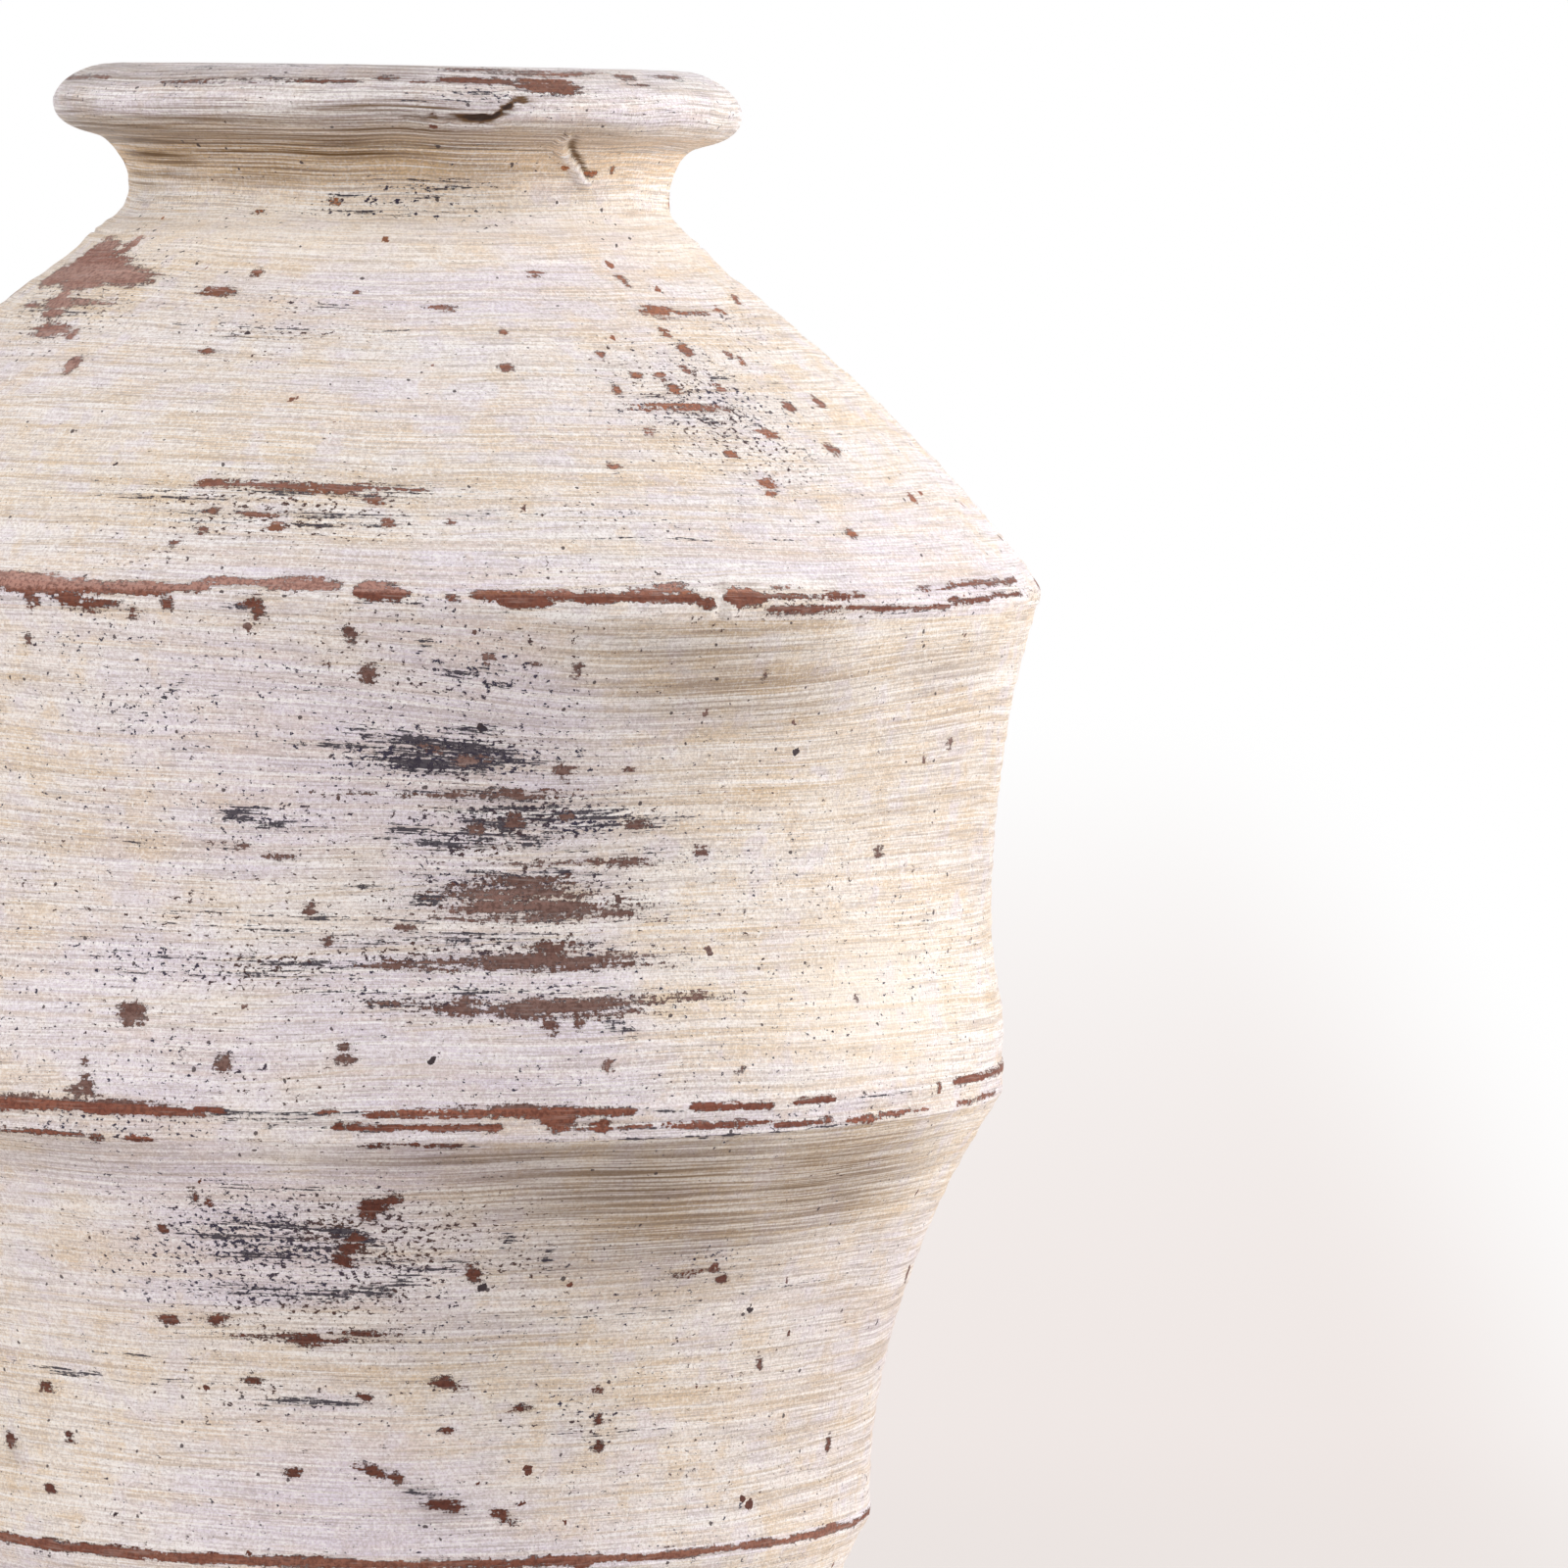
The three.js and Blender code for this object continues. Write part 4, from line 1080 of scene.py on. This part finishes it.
def path_distance(angle, height, radius, rise, path):
    """Distance in millimetres from each point to a bent line through (angle, height, strength)
    places, the side that the point is on (positive to the right), and the strength nearest it."""
    best = np.full(np.broadcast(angle, height).shape, 1e3)
    side = np.zeros_like(best)
    strength = np.zeros_like(best)
    for (a0, z0, s0), (a1, z1, s1) in zip(path[:-1], path[1:]):
        px = np.radians(angle - a0) * radius
        py = (height - z0) * rise
        dx = np.radians(a1 - a0) * radius
        dy = (z1 - z0) * rise
        t = np.clip((px * dx + py * dy) / (dx * dx + dy * dy), 0, 1)
        far = np.hypot(px - t * dx, py - t * dy)
        cross = dx * py - dy * px
        side = np.where(far < best, -np.sign(cross), side)
        strength = np.where(far < best, s0 + (s1 - s0) * t, strength)
        best = np.minimum(best, far)
    return best, side, strength


slip_curl = [
    (28.4, 364.4, 0.6), (28.9, 367.0, 1.0), (29.8, 368.8, 1.0), (31.2, 367.4, 0.9), (34.2, 368.0, 0.3),
]


def shoulder_relief(angle, radius, height):
    """The thrown relief, a fillet of slip under the neck, and a curl of slip with a round lump over
    the strip's butted ends."""
    far, _, strength = path_distance(angle, height, radius, 1.42, slip_curl)
    curl = 0.6 * strength * np.exp(-(far / 0.9) ** 2)
    lump = 0.7 * np.exp(-oval_reach(angle, height, radius, 27.0, 364.9, 4.6, 2.8) ** 2)
    outside = radius > np.interp(height, shoulder_outer[:, 1], shoulder_outer[:, 0]) - 1.0
    fillet = 1.5 * np.clip((height - 446.0) / 5.3, 0, 1) ** 2
    thrown = thrown_relief(upper_ridge, neck_seam, 81)(angle, radius, height)
    return thrown + (curl + lump + fillet) * outside


def warm_top(wear):
    """The neck's ochre, which runs down over the top of the shoulder and fades out."""
    def faded(angle, radius, height):
        bare, primer, specks, stain, warm, inner = wear(angle, radius, height)
        reach = 444.5 + 3.0 * hand_noise(angle, height * 0, 14, 9.0, 84)
        stain = stain - 0.32 * np.clip((height - 438) / 13, 0, 1)
        return bare, primer, specks, stain, warm + 0.4 * np.clip((height - reach) / 8.0, 0, 1), inner
    return faded


shoulder_bared = [
    (-65, 446.4, 20, 8.5), (-61, 443.6, 34, 8), (-52, 442.4, 30, 5.2, -6), (-70, 441.4, 18, 6),
    (-46.5, 442.0, 14, 3.4), (-58, 439.6, 22, 3.4), (-56.5, 449.6, 8, 2.6, 38), (-60, 436.6, 5, 5),
    (-58.5, 434.4, 15, 3.6), (-52.5, 435.0, 18, 1.6), (-56.5, 431.8, 8, 2.4), (-66, 433.4, 10, 1.2),
    (-53.5, 427.2, 16, 3.6), (-48.2, 426.4, 3, 3), (-43.8, 418.6, 4.6, 4.2), (-28, 438.8, 8, 2.2),
    (-23.5, 444.3, 2.4, 1.6), (-24.7, 423.5, 3, 1.2), (39.6, 444.3, 2.6, 2.6), (41.5, 436.2, 10, 2.6),
    (48, 435.8, 13, 0.8), (41, 426.5, 4.4, 3), (26.5, 416.1, 3, 2.2), (34.5, 416.3, 3.2, 2.0),
    (33.7, 411.4, 24, 1.4), (28, 405.2, 3, 1.6), (44, 405.2, 7, 2.4, -24), (37, 399.8, 3, 2),
    (53.3, 400.9, 5, 2.4, -20), (39.6, 392.4, 6.4, 2.6, -20), (39.1, 389.7, 3, 1.6),
    (14.5, 430.5, 2.2, 1.6), (6.6, 436.4, 5, 1.2), (-6.2, 440.0, 1.7, 1.4), (23.1, 445.5, 3.4, 1.2),
    (39.7, 430.8, 3.4, 1.8, -20), (26.8, 424.5, 2.4, 1.6), (30.3, 419.5, 2.6, 1.8),
    (33.8, 419.6, 2.4, 1.8), (48.5, 424.9, 2.6, 2.0), (41.8, 416.7, 3.2, 1.8, -20),
    (38.5, 421.5, 3.4, 2.2, -24), (58.7, 413.1, 4.4, 2.6, -30), (51.5, 412.2, 4, 2.4, -24),
    (65.6, 439.2, 5, 2.0), (56.1, 436.7, 4, 2.0, -20), (13.4, 421.4, 3.0, 1.8),
    (47, 379.3, 4.4, 2.2, -20), (62, 388, 4, 2.4, -24), (-70, 400, 22, 4), (22, 396, 3, 1.6),
    (50, 424, 3, 1.6), (-9, 389.6, 44, 1.7), (-6.5, 389.2, 22, 2.5), (-18.8, 389.8, 9, 2.0),
    (-2.3, 386.6, 4.4, 2.4), (-17.9, 383, 3.4, 1.4), (-13.4, 382, 8.6, 1.6), (-11.7, 379.6, 4, 2.4),
    (-1.2, 381, 3.2, 2.6), (4.5, 381.4, 2.2, 1.2), (-18.5, 377.7, 2.8, 1.6), (-20.3, 376, 2.6, 1.4),
    (-21, 374.7, 1.6, 1.4), (-14, 376.8, 1.6, 1.4), (23.6, 366.3, 8, 1.2), (35, 366.0, 7, 1.0),
]
shoulder_primed = [
    (-1, 430.2, 12, 0.9), (-18, 430, 26, 0.8), (-21, 427.3, 18, 0.9), (-9, 436, 12, 1.2),
    (-9, 390.1, 64, 1.1), (-9, 388, 54, 1.1), (-10, 382.4, 56, 1.2), (-8, 380, 44, 1.0),
    (24, 378, 40, 0.8), (-24, 386, 30, 0.9), (14, 384, 30, 0.8), (36, 378, 22, 1),
    (36, 408.6, 12, 1.2, -16), (43, 408.0, 6, 1.2, -20), (31, 414.4, 8, 1.0), (45.5, 413.6, 8, 1.1),
    (38, 404.0, 5, 1.0, -24), (48, 400.4, 6, 1.1, -24), (34, 395.2, 6, 1.0), (44, 419.4, 7, 1.0),
    (29, 423.0, 5, 1.0), (56, 405.6, 6, 1.0, -24), (53, 418.0, 5, 1.0, -20), (-63, 449.4, 12, 1.2),
    (-55, 432.0, 30, 1.0),
]
shoulder_specked = [
    (-15, 436, 50, 10, 0.6), (-17, 429, 60, 6, 0.75), (-18, 422, 40, 6, 0.6), (38, 411, 56, 34, 1.0),
    (42, 398, 50, 20, 0.8), (-56, 436, 70, 30, 0.8), (-12, 384, 90, 20, 0.85), (20, 384, 120, 12, 0.45),
    (12, 370, 100, 10, 0.45), (24, 366.5, 30, 4, 0.9), (56, 430, 60, 20, 0.55), (-24, 372, 40, 10, 0.6),
]
shoulder_stained = [(30, 446, 90, 14, 0.15), (28.9, 366.0, 4, 2.0, 0.9), (31.5, 366.4, 7, 1.2, 0.6)]
shoulder_ochre = [(-90, 0.6), (-40, 0.5), (0, 0.25), (40, 0.3), (90, 0.4), (180, 0.4)]
shoulder_wall = thrown_wall(
    "thrown_shoulder_wall", upper_ridge, neck_seam, shoulder_outer, shoulder_inner, shoulder_relief,
    warm_top(wall_wear(shoulder_outer, 1.42, 82, shoulder_bared, shoulder_primed, shoulder_specked,
                       shoulder_stained, upper_lines, upper_dark_lines, shoulder_ochre, 0.12)))
shoulder_wall.data.materials.append(
    limewash_finish("limewash_shoulder_wall", (237, 226, 221), (174, 138, 127),
                    right_clay_with_painted_light=(164, 104, 76), crest=upper_crest))
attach(shoulder_wall, "root")
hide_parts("shoulder_wall")

# Upper coil. The last of the three terracotta coils inside, between the belly and the shoulder.
# It was thumbed over the widest seam before the vase was closed in.
upper_coil = seam_coil("thumbed_upper_coil", upper_ridge, belly_inner, shoulder_inner, 34)
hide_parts("upper_coil")

# Upper strip. A flat strip laid over the widest seam and smoothed to a round nose.
# Its two ends meet right of the front in lumps with a white filling, and its edges are bare.
upper_profile = [(-2.7, 0.72), (-2.0, 0.4), (-1.0, 0.1), (0.0, 0.0), (1.0, 0.1), (2.0, 0.45), (2.7, 0.8)]
upper_lumps = [(2.6, 362.0, 9, 2.0, 0.3), (-26, 358.6, 12, 1.4, 0.35)]
butted_ends = [(27.6, 28.6)]
upper_scribbles = [(26, 364, 6, 1), (-14, 359.5, 14, 2)]
upper_strip = turned_piece(
    "butted_upper_strip", strip_section(upper_ridge, upper_profile), strip_columns,
    strip_relief(upper_ridge, 91, butted_ends, upper_lumps),
    strip_wear(upper_lines, upper_dark_lines, upper_chips, upper_scribbles, 92, 0.4))
upper_strip.data.materials.append(
    limewash_finish("worn_upper_strip", (241, 231, 226), (138, 88, 72), crest=upper_crest))
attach(upper_strip, "root")
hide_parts("upper_cordon")

# Neck. A short waisted collar of terracotta, thrown apart and set on the shoulder in slip.
# A fingernail or tool left a slanted nick with a raised lip on the right of the front.
neck_bow = -7.4
neck_outside = 73.0
rim_seam = dict(height=478.0, outer=79.0, inner=64.0, strip=0.0)
neck_outer = outer_face(neck_seam, rim_seam, neck_bow, 46)
neck_inner = inner_face(neck_seam, rim_seam, neck_bow, 20)
neck_nick = [
    (31.6, 481.4, 0.5), (33.2, 480.2, 0.9), (35.2, 478.3, 1.0), (37.4, 476.2, 1.0), (39.6, 474.2, 1.0),
    (41.6, 471.6, 0.9),
]


def nick_relief(angle, radius, height):
    """The nick: a groove that a nail left, shallow where it runs over the seam, with the clay it
    pushed up along its left side."""
    far, side, strength = path_distance(angle, height, radius, 1.0, neck_nick)
    off_seam = 0.2 + 0.8 * np.clip(np.abs(height - rim_seam["height"]) / 1.4, 0, 1)
    groove = -0.6 * strength * np.exp(-(far / 0.8) ** 2) * off_seam
    lip = 1.7 * strength * np.exp(-((far - 2.0) / 1.3) ** 4) * (side > 0)
    return groove + lip


def nick_finish(angle, radius, height):
    """Where the nick's lip is, from 0 to 1, kept clear of ochre, stain and painted shade, the brown on its
    floor, partly stain and partly painted shade in the groove, and its strength.
    """
    far, side, strength = path_distance(angle, height, radius, 1.0, neck_nick)
    body = np.exp(-((far - 2.0) / 1.4) ** 4) * (side > 0)
    nick_floor_stain_and_shade = 1.25 * strength * np.exp(-((far + 0.3 * side) / 0.9) ** 4)
    return body, nick_floor_stain_and_shade, strength


def neck_relief(angle, radius, height):
    """Level combing from a wet brush, slow dents, a thick foot where the neck was smeared on to the
    shoulder, and the nick."""
    thrown = thrown_relief(neck_seam, rim_seam, 101)(angle, radius, height)
    outside = np.where(radius > neck_outside, 1.0, 0.0)
    up = height - neck_seam["height"]
    thick_foot = np.clip(up, 0, 1) * (1 + np.cos(np.pi * np.clip((up - 1) / 11, 0, 1)))
    comb = 0.12 * hand_noise(angle, height, 40, 1.3, 103) * np.clip((477.5 - height) / 2, 0, 1)
    return (thrown * 0.7 + comb + thick_foot + nick_relief(angle, radius, height)) * outside


neck_bared = [(-13, 463.4, 3, 1.2), (42.8, 472.2, 3.4, 1.4), (48.8, 473.0, 1.5, 1.2), (-30, 460, 3, 1.1)]
neck_primed = [
    (6, 469.6, 15, 0.9), (8, 467.6, 14, 0.7), (-11, 465.2, 7, 1.5), (6, 465.4, 8, 1.5), (12, 465, 8, 0.8),
    (-8, 460.4, 22, 1.2), (4, 460.6, 15, 0.8),
]
neck_specked = [
    (6, 468, 40, 4, 0.8), (-2, 464, 44, 4, 0.85), (-4, 460.4, 40, 3, 0.85), (20, 458, 30, 10, 0.4),
]
# Painted shade under the rim, deepest on the left, away from the right light.
neck_painted_rim_shade = [
    (-24, 479, 98, 15, 1.6), (-38, 481, 70, 15, 1.5), (-56, 476, 50, 18, 1.3), (-68, 467, 40, 14, 0.8),
    (36, 482, 60, 6, 0.3), (6, 474, 60, 5, 0.7), (-30, 470, 60, 6, 0.75),
]
neck_ochre = [(-60, 1.0), (-20, 0.9), (20, 0.5), (50, 0.4), (180, 0.9)]
neck_wash = wall_wear(neck_outer, 1.2, 102, neck_bared, neck_primed, neck_specked, neck_painted_rim_shade,
                      (), (), neck_ochre, 0.12)


def neck_wear(angle, radius, height):
    """Ochre wash in level lines, painted shade under the rim, and a brown floor to the nick, partly stain
    and partly painted shade in the groove.
    """
    bare, primer, specks, stain, warm, inner = neck_wash(angle, radius, height)
    warm = warm * (0.6 + 0.4 * np.clip((height - 460) / 6, 0, 1)) + 1.3 * np.clip((height - 461) / 12, 0, 1)
    body, nick_floor_stain_and_shade, strength = nick_finish(angle, radius, height)
    body = body * np.minimum(1.0, 1.2 * strength)
    stain = stain * (0.8 + 0.4 * hand_noise(angle, height, 12, 1.2, 105))
    # The nick's lip is kept clear of the stain and painted shade round it.
    stain = np.maximum(np.minimum(stain, 1.1) * (1 - body), nick_floor_stain_and_shade)
    stain = stain - 0.32 * np.clip((468 - height) / 8, 0, 1)
    warm = warm * (1 - 0.8 * body)
    inner = inner * np.clip((476 - height + 5 * hand_noise(angle, height, 30, 9.0, 104)) / 3.0, 0, 1)
    return bare, primer, specks, stain, warm, inner


neck = thrown_wall(
    "thrown_neck_collar", neck_seam, rim_seam, neck_outer, neck_inner, neck_relief, neck_wear)
neck.data.materials.append(limewash_finish("limewash_neck", (251, 240, 231), (186, 122, 80), hatch=0.62))
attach(neck, "root")
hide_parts("neck_collar")

# Rim. A thick roll of clay laid round the neck's edge, pressed flat on top and folded under.
# The wash on it is thick and a little shiny, and has split along a level line near the top.
rim_round = 8.0
rim_top = 500.0
rim_under = rim_seam["height"] + slip_gap / 2
rim_land = rim_seam["outer"]
rim_fold = [
    (-3.1, 486.4, 0.2), (1.0, 486.0, 0.6), (5.9, 486.2, 0.75), (10.6, 486.1, 0.85), (14.8, 486.4, 1.0),
    (16.7, 487.4, 1.0), (18.0, 489.0, 1.0), (18.7, 490.4, 0.9), (19.2, 491.5, 0.7), (21.2, 491.4, 0.5),
    (23.4, 490.8, 0.1),
]


def smooth_line(points, steps):
    """A curve through the points, each stretch a cubic that leaves along the chord of its
    neighbours, with steps points to a stretch."""
    points = np.array(points, float)
    before = np.vstack([2 * points[0] - points[1], points[:-1]])
    after = np.vstack([points[1:], 2 * points[-1] - points[-2]])
    slope = (after - before) / 2
    t = np.linspace(0, 1, steps, endpoint=False)[:, None]
    curve = [(2 * t ** 3 - 3 * t ** 2 + 1) * a + (t ** 3 - 2 * t ** 2 + t) * da
             + (3 * t ** 2 - 2 * t ** 3) * b + (t ** 3 - t ** 2) * db
             for a, b, da, db in zip(points[:-1], points[1:], slope[:-1], slope[1:])]
    return np.vstack([*curve, points[-1:]])


roll = smooth_line([
    (79.0, 478.0), (80.8, 479.2), (83.4, 480.1), (87.2, 481.2), (90.6, 482.8), (92.9, 484.8), (94.0, 486.8),
    (94.4, 489.4), (93.6, 491.8), (91.4, 494.6), (88.2, 497.0), (84.6, 498.8), (81.4, 499.75), (79.0, 500.0),
], 6)
lip_turn = np.linspace(np.pi / 2, np.pi, 14)
lip = np.stack([rim_seam["inner"] + rim_round * (1 + np.cos(lip_turn)),
                rim_top - rim_round * (1 - np.sin(lip_turn))], axis=1)
land = np.stack([np.linspace(rim_land, rim_seam["inner"] + rim_round, 8)[1:-1], np.full(6, rim_top)], axis=1)
throat = np.stack([np.full(10, rim_seam["inner"]),
                   np.linspace(rim_top - rim_round, rim_under, 11)[1:]], axis=1)
rim_middle = seam_middle(rim_seam)
rim_section = np.vstack([roll, land, lip, throat, [
    (rim_middle - tongue_half_width, rim_under), (rim_middle, rim_under - tongue_height),
    (rim_middle + tongue_half_width, rim_under), (rim_land - 1.0, rim_under)]])


def fold_distance(angle, radius, height):
    """The ragged distance from the fold's line in millimetres, and the fold's strength there."""
    far, _, strength = path_distance(angle, height, radius, 1.0, rim_fold)
    return far + 1.0 * hand_noise(angle, height, 260, 1.2, 118), strength


def rim_relief(angle, radius, height):
    """A hand-rolled rim: slow lumps and level brush marks. Under its front is the fold, a crease
    that wanders and tapers, with a lip of clay above it, and the top of the neck's nick."""
    outside = np.clip((radius - rim_land + 0.4) / 3, 0, 1)
    lumps = 0.5 * hand_noise(angle, height, 14, 16.0, 111) + 0.25 * hand_noise(angle, height, 50, 7.0, 112)
    far, strength = fold_distance(angle, radius, height)
    crease = strength * (-1.1 * np.exp(-(far / 0.7) ** 2) + 0.8 * np.exp(-((far - 2.0) / 1.1) ** 2))
    split = -0.25 * np.exp(-((height - 496.2) / 0.5) ** 2) * (angle > -4) * (angle < 34)
    top_uneven = 0.12 * hand_noise(angle, radius, 40, 5.0, 114) * (radius <= rim_land)
    nick = nick_relief(angle, radius, height) * (radius > rim_land - 4)
    return (lumps - 0.35 + crease + split) * outside + nick + top_uneven


rim_bared = [
    (24.6, 495.5, 13, 3.6), (28.6, 495.4, 10, 4.6), (29, 498.6, 20, 1.2), (15.5, 499.2, 13, 0.6),
    (44.6, 497.8, 5, 1.2), (46, 495.8, 5, 0.6), (58, 498.2, 9, 0.7),
    (165, 499, 30, 3), (205, 493, 12, 2), (250, 497, 20, 3),
]
rim_lines = [
    (-44, -30, 495.1, 0.22), (-28, -6, 495.4, 0.26), (-3.3, 0.6, 496.3, 0.35), (2.2, 5.5, 496.1, 0.35),
    (6.4, 12.8, 496.4, 0.6), (12.4, 21, 496.1, 0.7),
    (96, 150, 496.8, 0.5), (140, 214, 497.6, 0.9), (220, 300, 496.2, 0.4),
]
rim_primed = [
    (9.5, 493.0, 2.6, 1.2), (13, 493.2, 8, 0.9), (18.5, 493.6, 14, 0.7), (21.5, 494.2, 8, 0.9),
    (4.5, 491.3, 9, 0.9), (10, 491.0, 10, 0.7), (15.6, 490.8, 7, 0.8), (26, 493.4, 8, 0.9),
    (52, 488.8, 6, 0.8), (-34, 499.2, 14, 0.8), (-20, 499.6, 10, 0.7), (-26, 495.8, 26, 0.6),
    (60, 497.4, 10, 0.8),
]
# Smudges under the roll in the middle and at the left end: partly grime, partly painted shade.
rim_grime_and_painted_shade = [(-3, 488, 17, 5.5, 0.9), (-68, 487.5, 17, 7, 0.6), (-34, 486, 22, 5, 0.6)]


def rim_wear(angle, radius, height):
    """A level split through the wash that widens to a bare patch at the right of the front, rubbed
    spots along the top edge, and painted shade under the roll, deepest in front and to the left and
    light on the right, where the right light falls, with smudges and a dark crease along the fold
    that are partly grime and partly painted shade."""
    bare = np.maximum(mark_field(angle, height, radius, 1.0, rim_bared),
                      line_field(angle, height, radius, rim_lines))
    primer = mark_field(angle, height, radius, 1.0, rim_primed)
    specks = np.clip(0.2 + 0.3 * hand_noise(angle, height, 16, 9.0, 115), 0, 1)
    specks = np.maximum(specks, 0.9 * np.exp(-((angle - 14) / 12) ** 2 - ((height - 492.6) / 2.2) ** 2))
    # Painted shade under the roll: deepest in front and to the left, and light on the right, where the right
    # light falls.
    shade = np.interp(angle, [-120, -90, -60, 0, 30, 60, 90, 120], [0.6, 0.7, 1, 0.95, 0.5, 0.25, 0.35, 0.6])
    shade = shade * (1 + 0.35 * hand_noise(angle, height, 20, 1.2, 116))
    under = np.clip((488.4 - height) / 5.5, 0, 1) * shade
    smudge = 0 * specks
    for at, level, wide, deep, much in rim_grime_and_painted_shade:
        oval = ((angle - at) / wide) ** 2 + ((height - level) / deep) ** 2
        smudge = np.maximum(smudge, much * np.exp(-oval))
    under = np.maximum(under, smudge * (1 + 0.8 * hand_noise(angle, height, 20, 0.8, 119)))
    under = np.minimum(under, 0.95)
    # A dark crease along the fold: partly grime, partly painted shade in the crease.
    far, strength = fold_distance(angle, radius, height)
    ragged = strength * (1.1 + 0.7 * hand_noise(angle, height, 120, 1.6, 120))
    under = np.maximum(under, 1.75 * ragged * np.exp(-(far / 1.1) ** 2))
    band = np.clip((height - 495.3) / 0.5, 0, 1) * np.clip((12 - angle) / 8, 0, 1)
    under = np.maximum(under, 0.52 * band * (1 + 0.4 * hand_noise(angle, height, 20, 0.8, 121)))
    top_left = np.clip((height - 492.5) / 2.5, 0, 1) * (1 - 0.5 * np.sin(np.radians(angle)))
    under = np.maximum(under, 0.3 * top_left)
    # The nick's lip is kept clear of it, and its floor is brown: partly stain, partly painted shade in the
    # groove.
    body, nick_floor_stain_and_shade, strength = nick_finish(angle, radius, height)
    under = np.maximum(under * (1 - strength * body), nick_floor_stain_and_shade) * (radius > rim_seam["outer"] - 5)
    warm = 0.25 + 1.6 * np.clip((485.5 - height) / 4, 0, 1)
    drip = 482 + 4 * hand_noise(angle, height, 24, 9.0, 117)
    inner = (radius < rim_seam["inner"] + 0.5) * np.clip((drip - height) / 3, 0, 1)
    return bare, primer, specks, under, warm, inner


rim = turned_piece("rolled_rim", rim_section, wall_columns, rim_relief, rim_wear, sharp=[0])
rim.data.materials.append(limewash_finish("limewash_rim", (236, 223, 219), (126, 78, 58), 0.75, 0.3, 0.9))
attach(rim, "root")
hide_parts("rim_roll")

# The studio. A wide pale floor that goes over to white in the distance, with a soft shadow of the vase
# painted into that white near it, and three soft lights: a broad and even one on the left, a closer
# and stronger one on the right, and one overhead.
floor_reach = 16.0
floor_mesh = bpy.data.meshes.new("pale_floor")
floor_mesh.from_pydata(
    [(-floor_reach, -floor_reach, 0), (floor_reach, -floor_reach, 0), (floor_reach, floor_reach, 0),
     (-floor_reach, floor_reach, 0)], [], [(0, 1, 2, 3)])
pale_floor = placed("pale_floor", floor_mesh)


def seen_share(book):
    """One for a ray that the camera sees straight, mirrored or through glass, and else nought."""
    ray = book.tree.nodes.new("ShaderNodeLightPath").outputs
    return book.sum("MAXIMUM", ray["Is Camera Ray"],
                    book.sum("MAXIMUM", ray["Is Glossy Ray"], ray["Is Transmission Ray"]))


def mix_shaders(book, amount, first, second, output):
    """Two shaders mixed by an amount, and joined to the tree's output."""
    blend = book.tree.nodes.new("ShaderNodeMixShader")
    for socket, value in zip(blend.inputs, (amount, first.outputs[0], second.outputs[0])):
        book.tree.links.new(value, socket)
    book.tree.links.new(blend.outputs[0], book.tree.nodes[output].inputs["Surface"])


floor_book = FinishBook(bpy.data.materials.new("pale_floor"))
floor_book.shader.inputs["Base Color"].default_value = paint(236, 232, 229)
floor_book.shader.inputs["Roughness"].default_value = 0.9
across, away, _ = floor_book.split(floor_book.place())
# Painted shadow: near the vase, the white that the camera sees is tinted pinkish grey in a band that widens
# away behind it, a soft shadow of the vase painted beside the real one on the diffuse floor.
widened = floor_book.sum("MULTIPLY_ADD", away, -0.05, floor_book.sum("ABSOLUTE", across, 0.0))
white_with_painted_shadow = floor_book.coats(paint(255, 255, 255), ((239, 231, 228), (widened, 0.5, 0.3), (away, 6.5, 0.4)))
near = floor_book.between(floor_book.sum("ABSOLUTE", away, 0.0), 1.1, 0.3, 0.0, 0.55)
white = floor_book.tree.nodes.new("ShaderNodeEmission")
white.inputs["Strength"].default_value = 1.0
floor_book.put(white.inputs["Color"], white_with_painted_shadow)
white_share = floor_book.sum("MULTIPLY", seen_share(floor_book), floor_book.sum("SUBTRACT", 1.0, near))
mix_shaders(floor_book, white_share, floor_book.shader, white, "Material Output")
floor_mesh.materials.append(floor_book.owner)

world = bpy.data.worlds.new("studio_air")
bpy.context.scene.world = world
air = FinishBook(world)
soft = air.tree.nodes["Background"]
soft.inputs["Color"].default_value = (1.0, 0.99, 0.985, 1)
soft.inputs["Strength"].default_value = 0.42
bright = air.tree.nodes.new("ShaderNodeBackground")
bright.inputs["Color"].default_value = (1, 1, 1, 1)
bright.inputs["Strength"].default_value = 1.0
mix_shaders(air, seen_share(air), soft, bright, "World Output")


def soft_light(name, place, aim, wide, tall, power, colour):
    """A flat rectangular light that faces a point of the vase."""
    lamp = bpy.data.lights.new(name, "AREA")
    lamp.shape = "RECTANGLE"
    lamp.size = wide
    lamp.size_y = tall
    lamp.energy = power
    lamp.color = colour
    holder = placed(name, lamp)
    holder.location = place
    holder.rotation_euler = (Vector(aim) - Vector(place)).to_track_quat("-Z", "Y").to_euler()


soft_light("left_softbox", (-1.75, -1.15, 0.95), (0, 0, 0.3), 1.6, 1.5, 18.3, (1.0, 0.99, 0.985))
soft_light("right_softbox", (1.55, 0.05, 0.75), (0, 0, 0.3), 0.9, 1.3, 20.7, (1.0, 0.99, 0.98))
soft_light("overhead_softbox", (0.0, -1.05, 2.05), (0, 0, 0.4), 1.6, 1.2, 13.9, (1.0, 0.99, 0.98))

# The camera. It stands just under three metres off and a little above the shoulder,
# with a long lens, and looks slightly down and to the right of the vase's axis.
camera_place = Vector((0.0, -2.920, 0.474))
camera_aim = Vector((0.106, 0.0, 0.304))
camera = placed("camera", bpy.data.cameras.new("camera"))
camera.data.lens = 245.0
camera.data.sensor_width = 36.0
camera.location = camera_place
camera.rotation_euler = (camera_aim - camera_place).to_track_quat("-Z", "Y").to_euler()
bpy.context.scene.camera = camera
bpy.context.scene.view_settings.view_transform = "Standard"
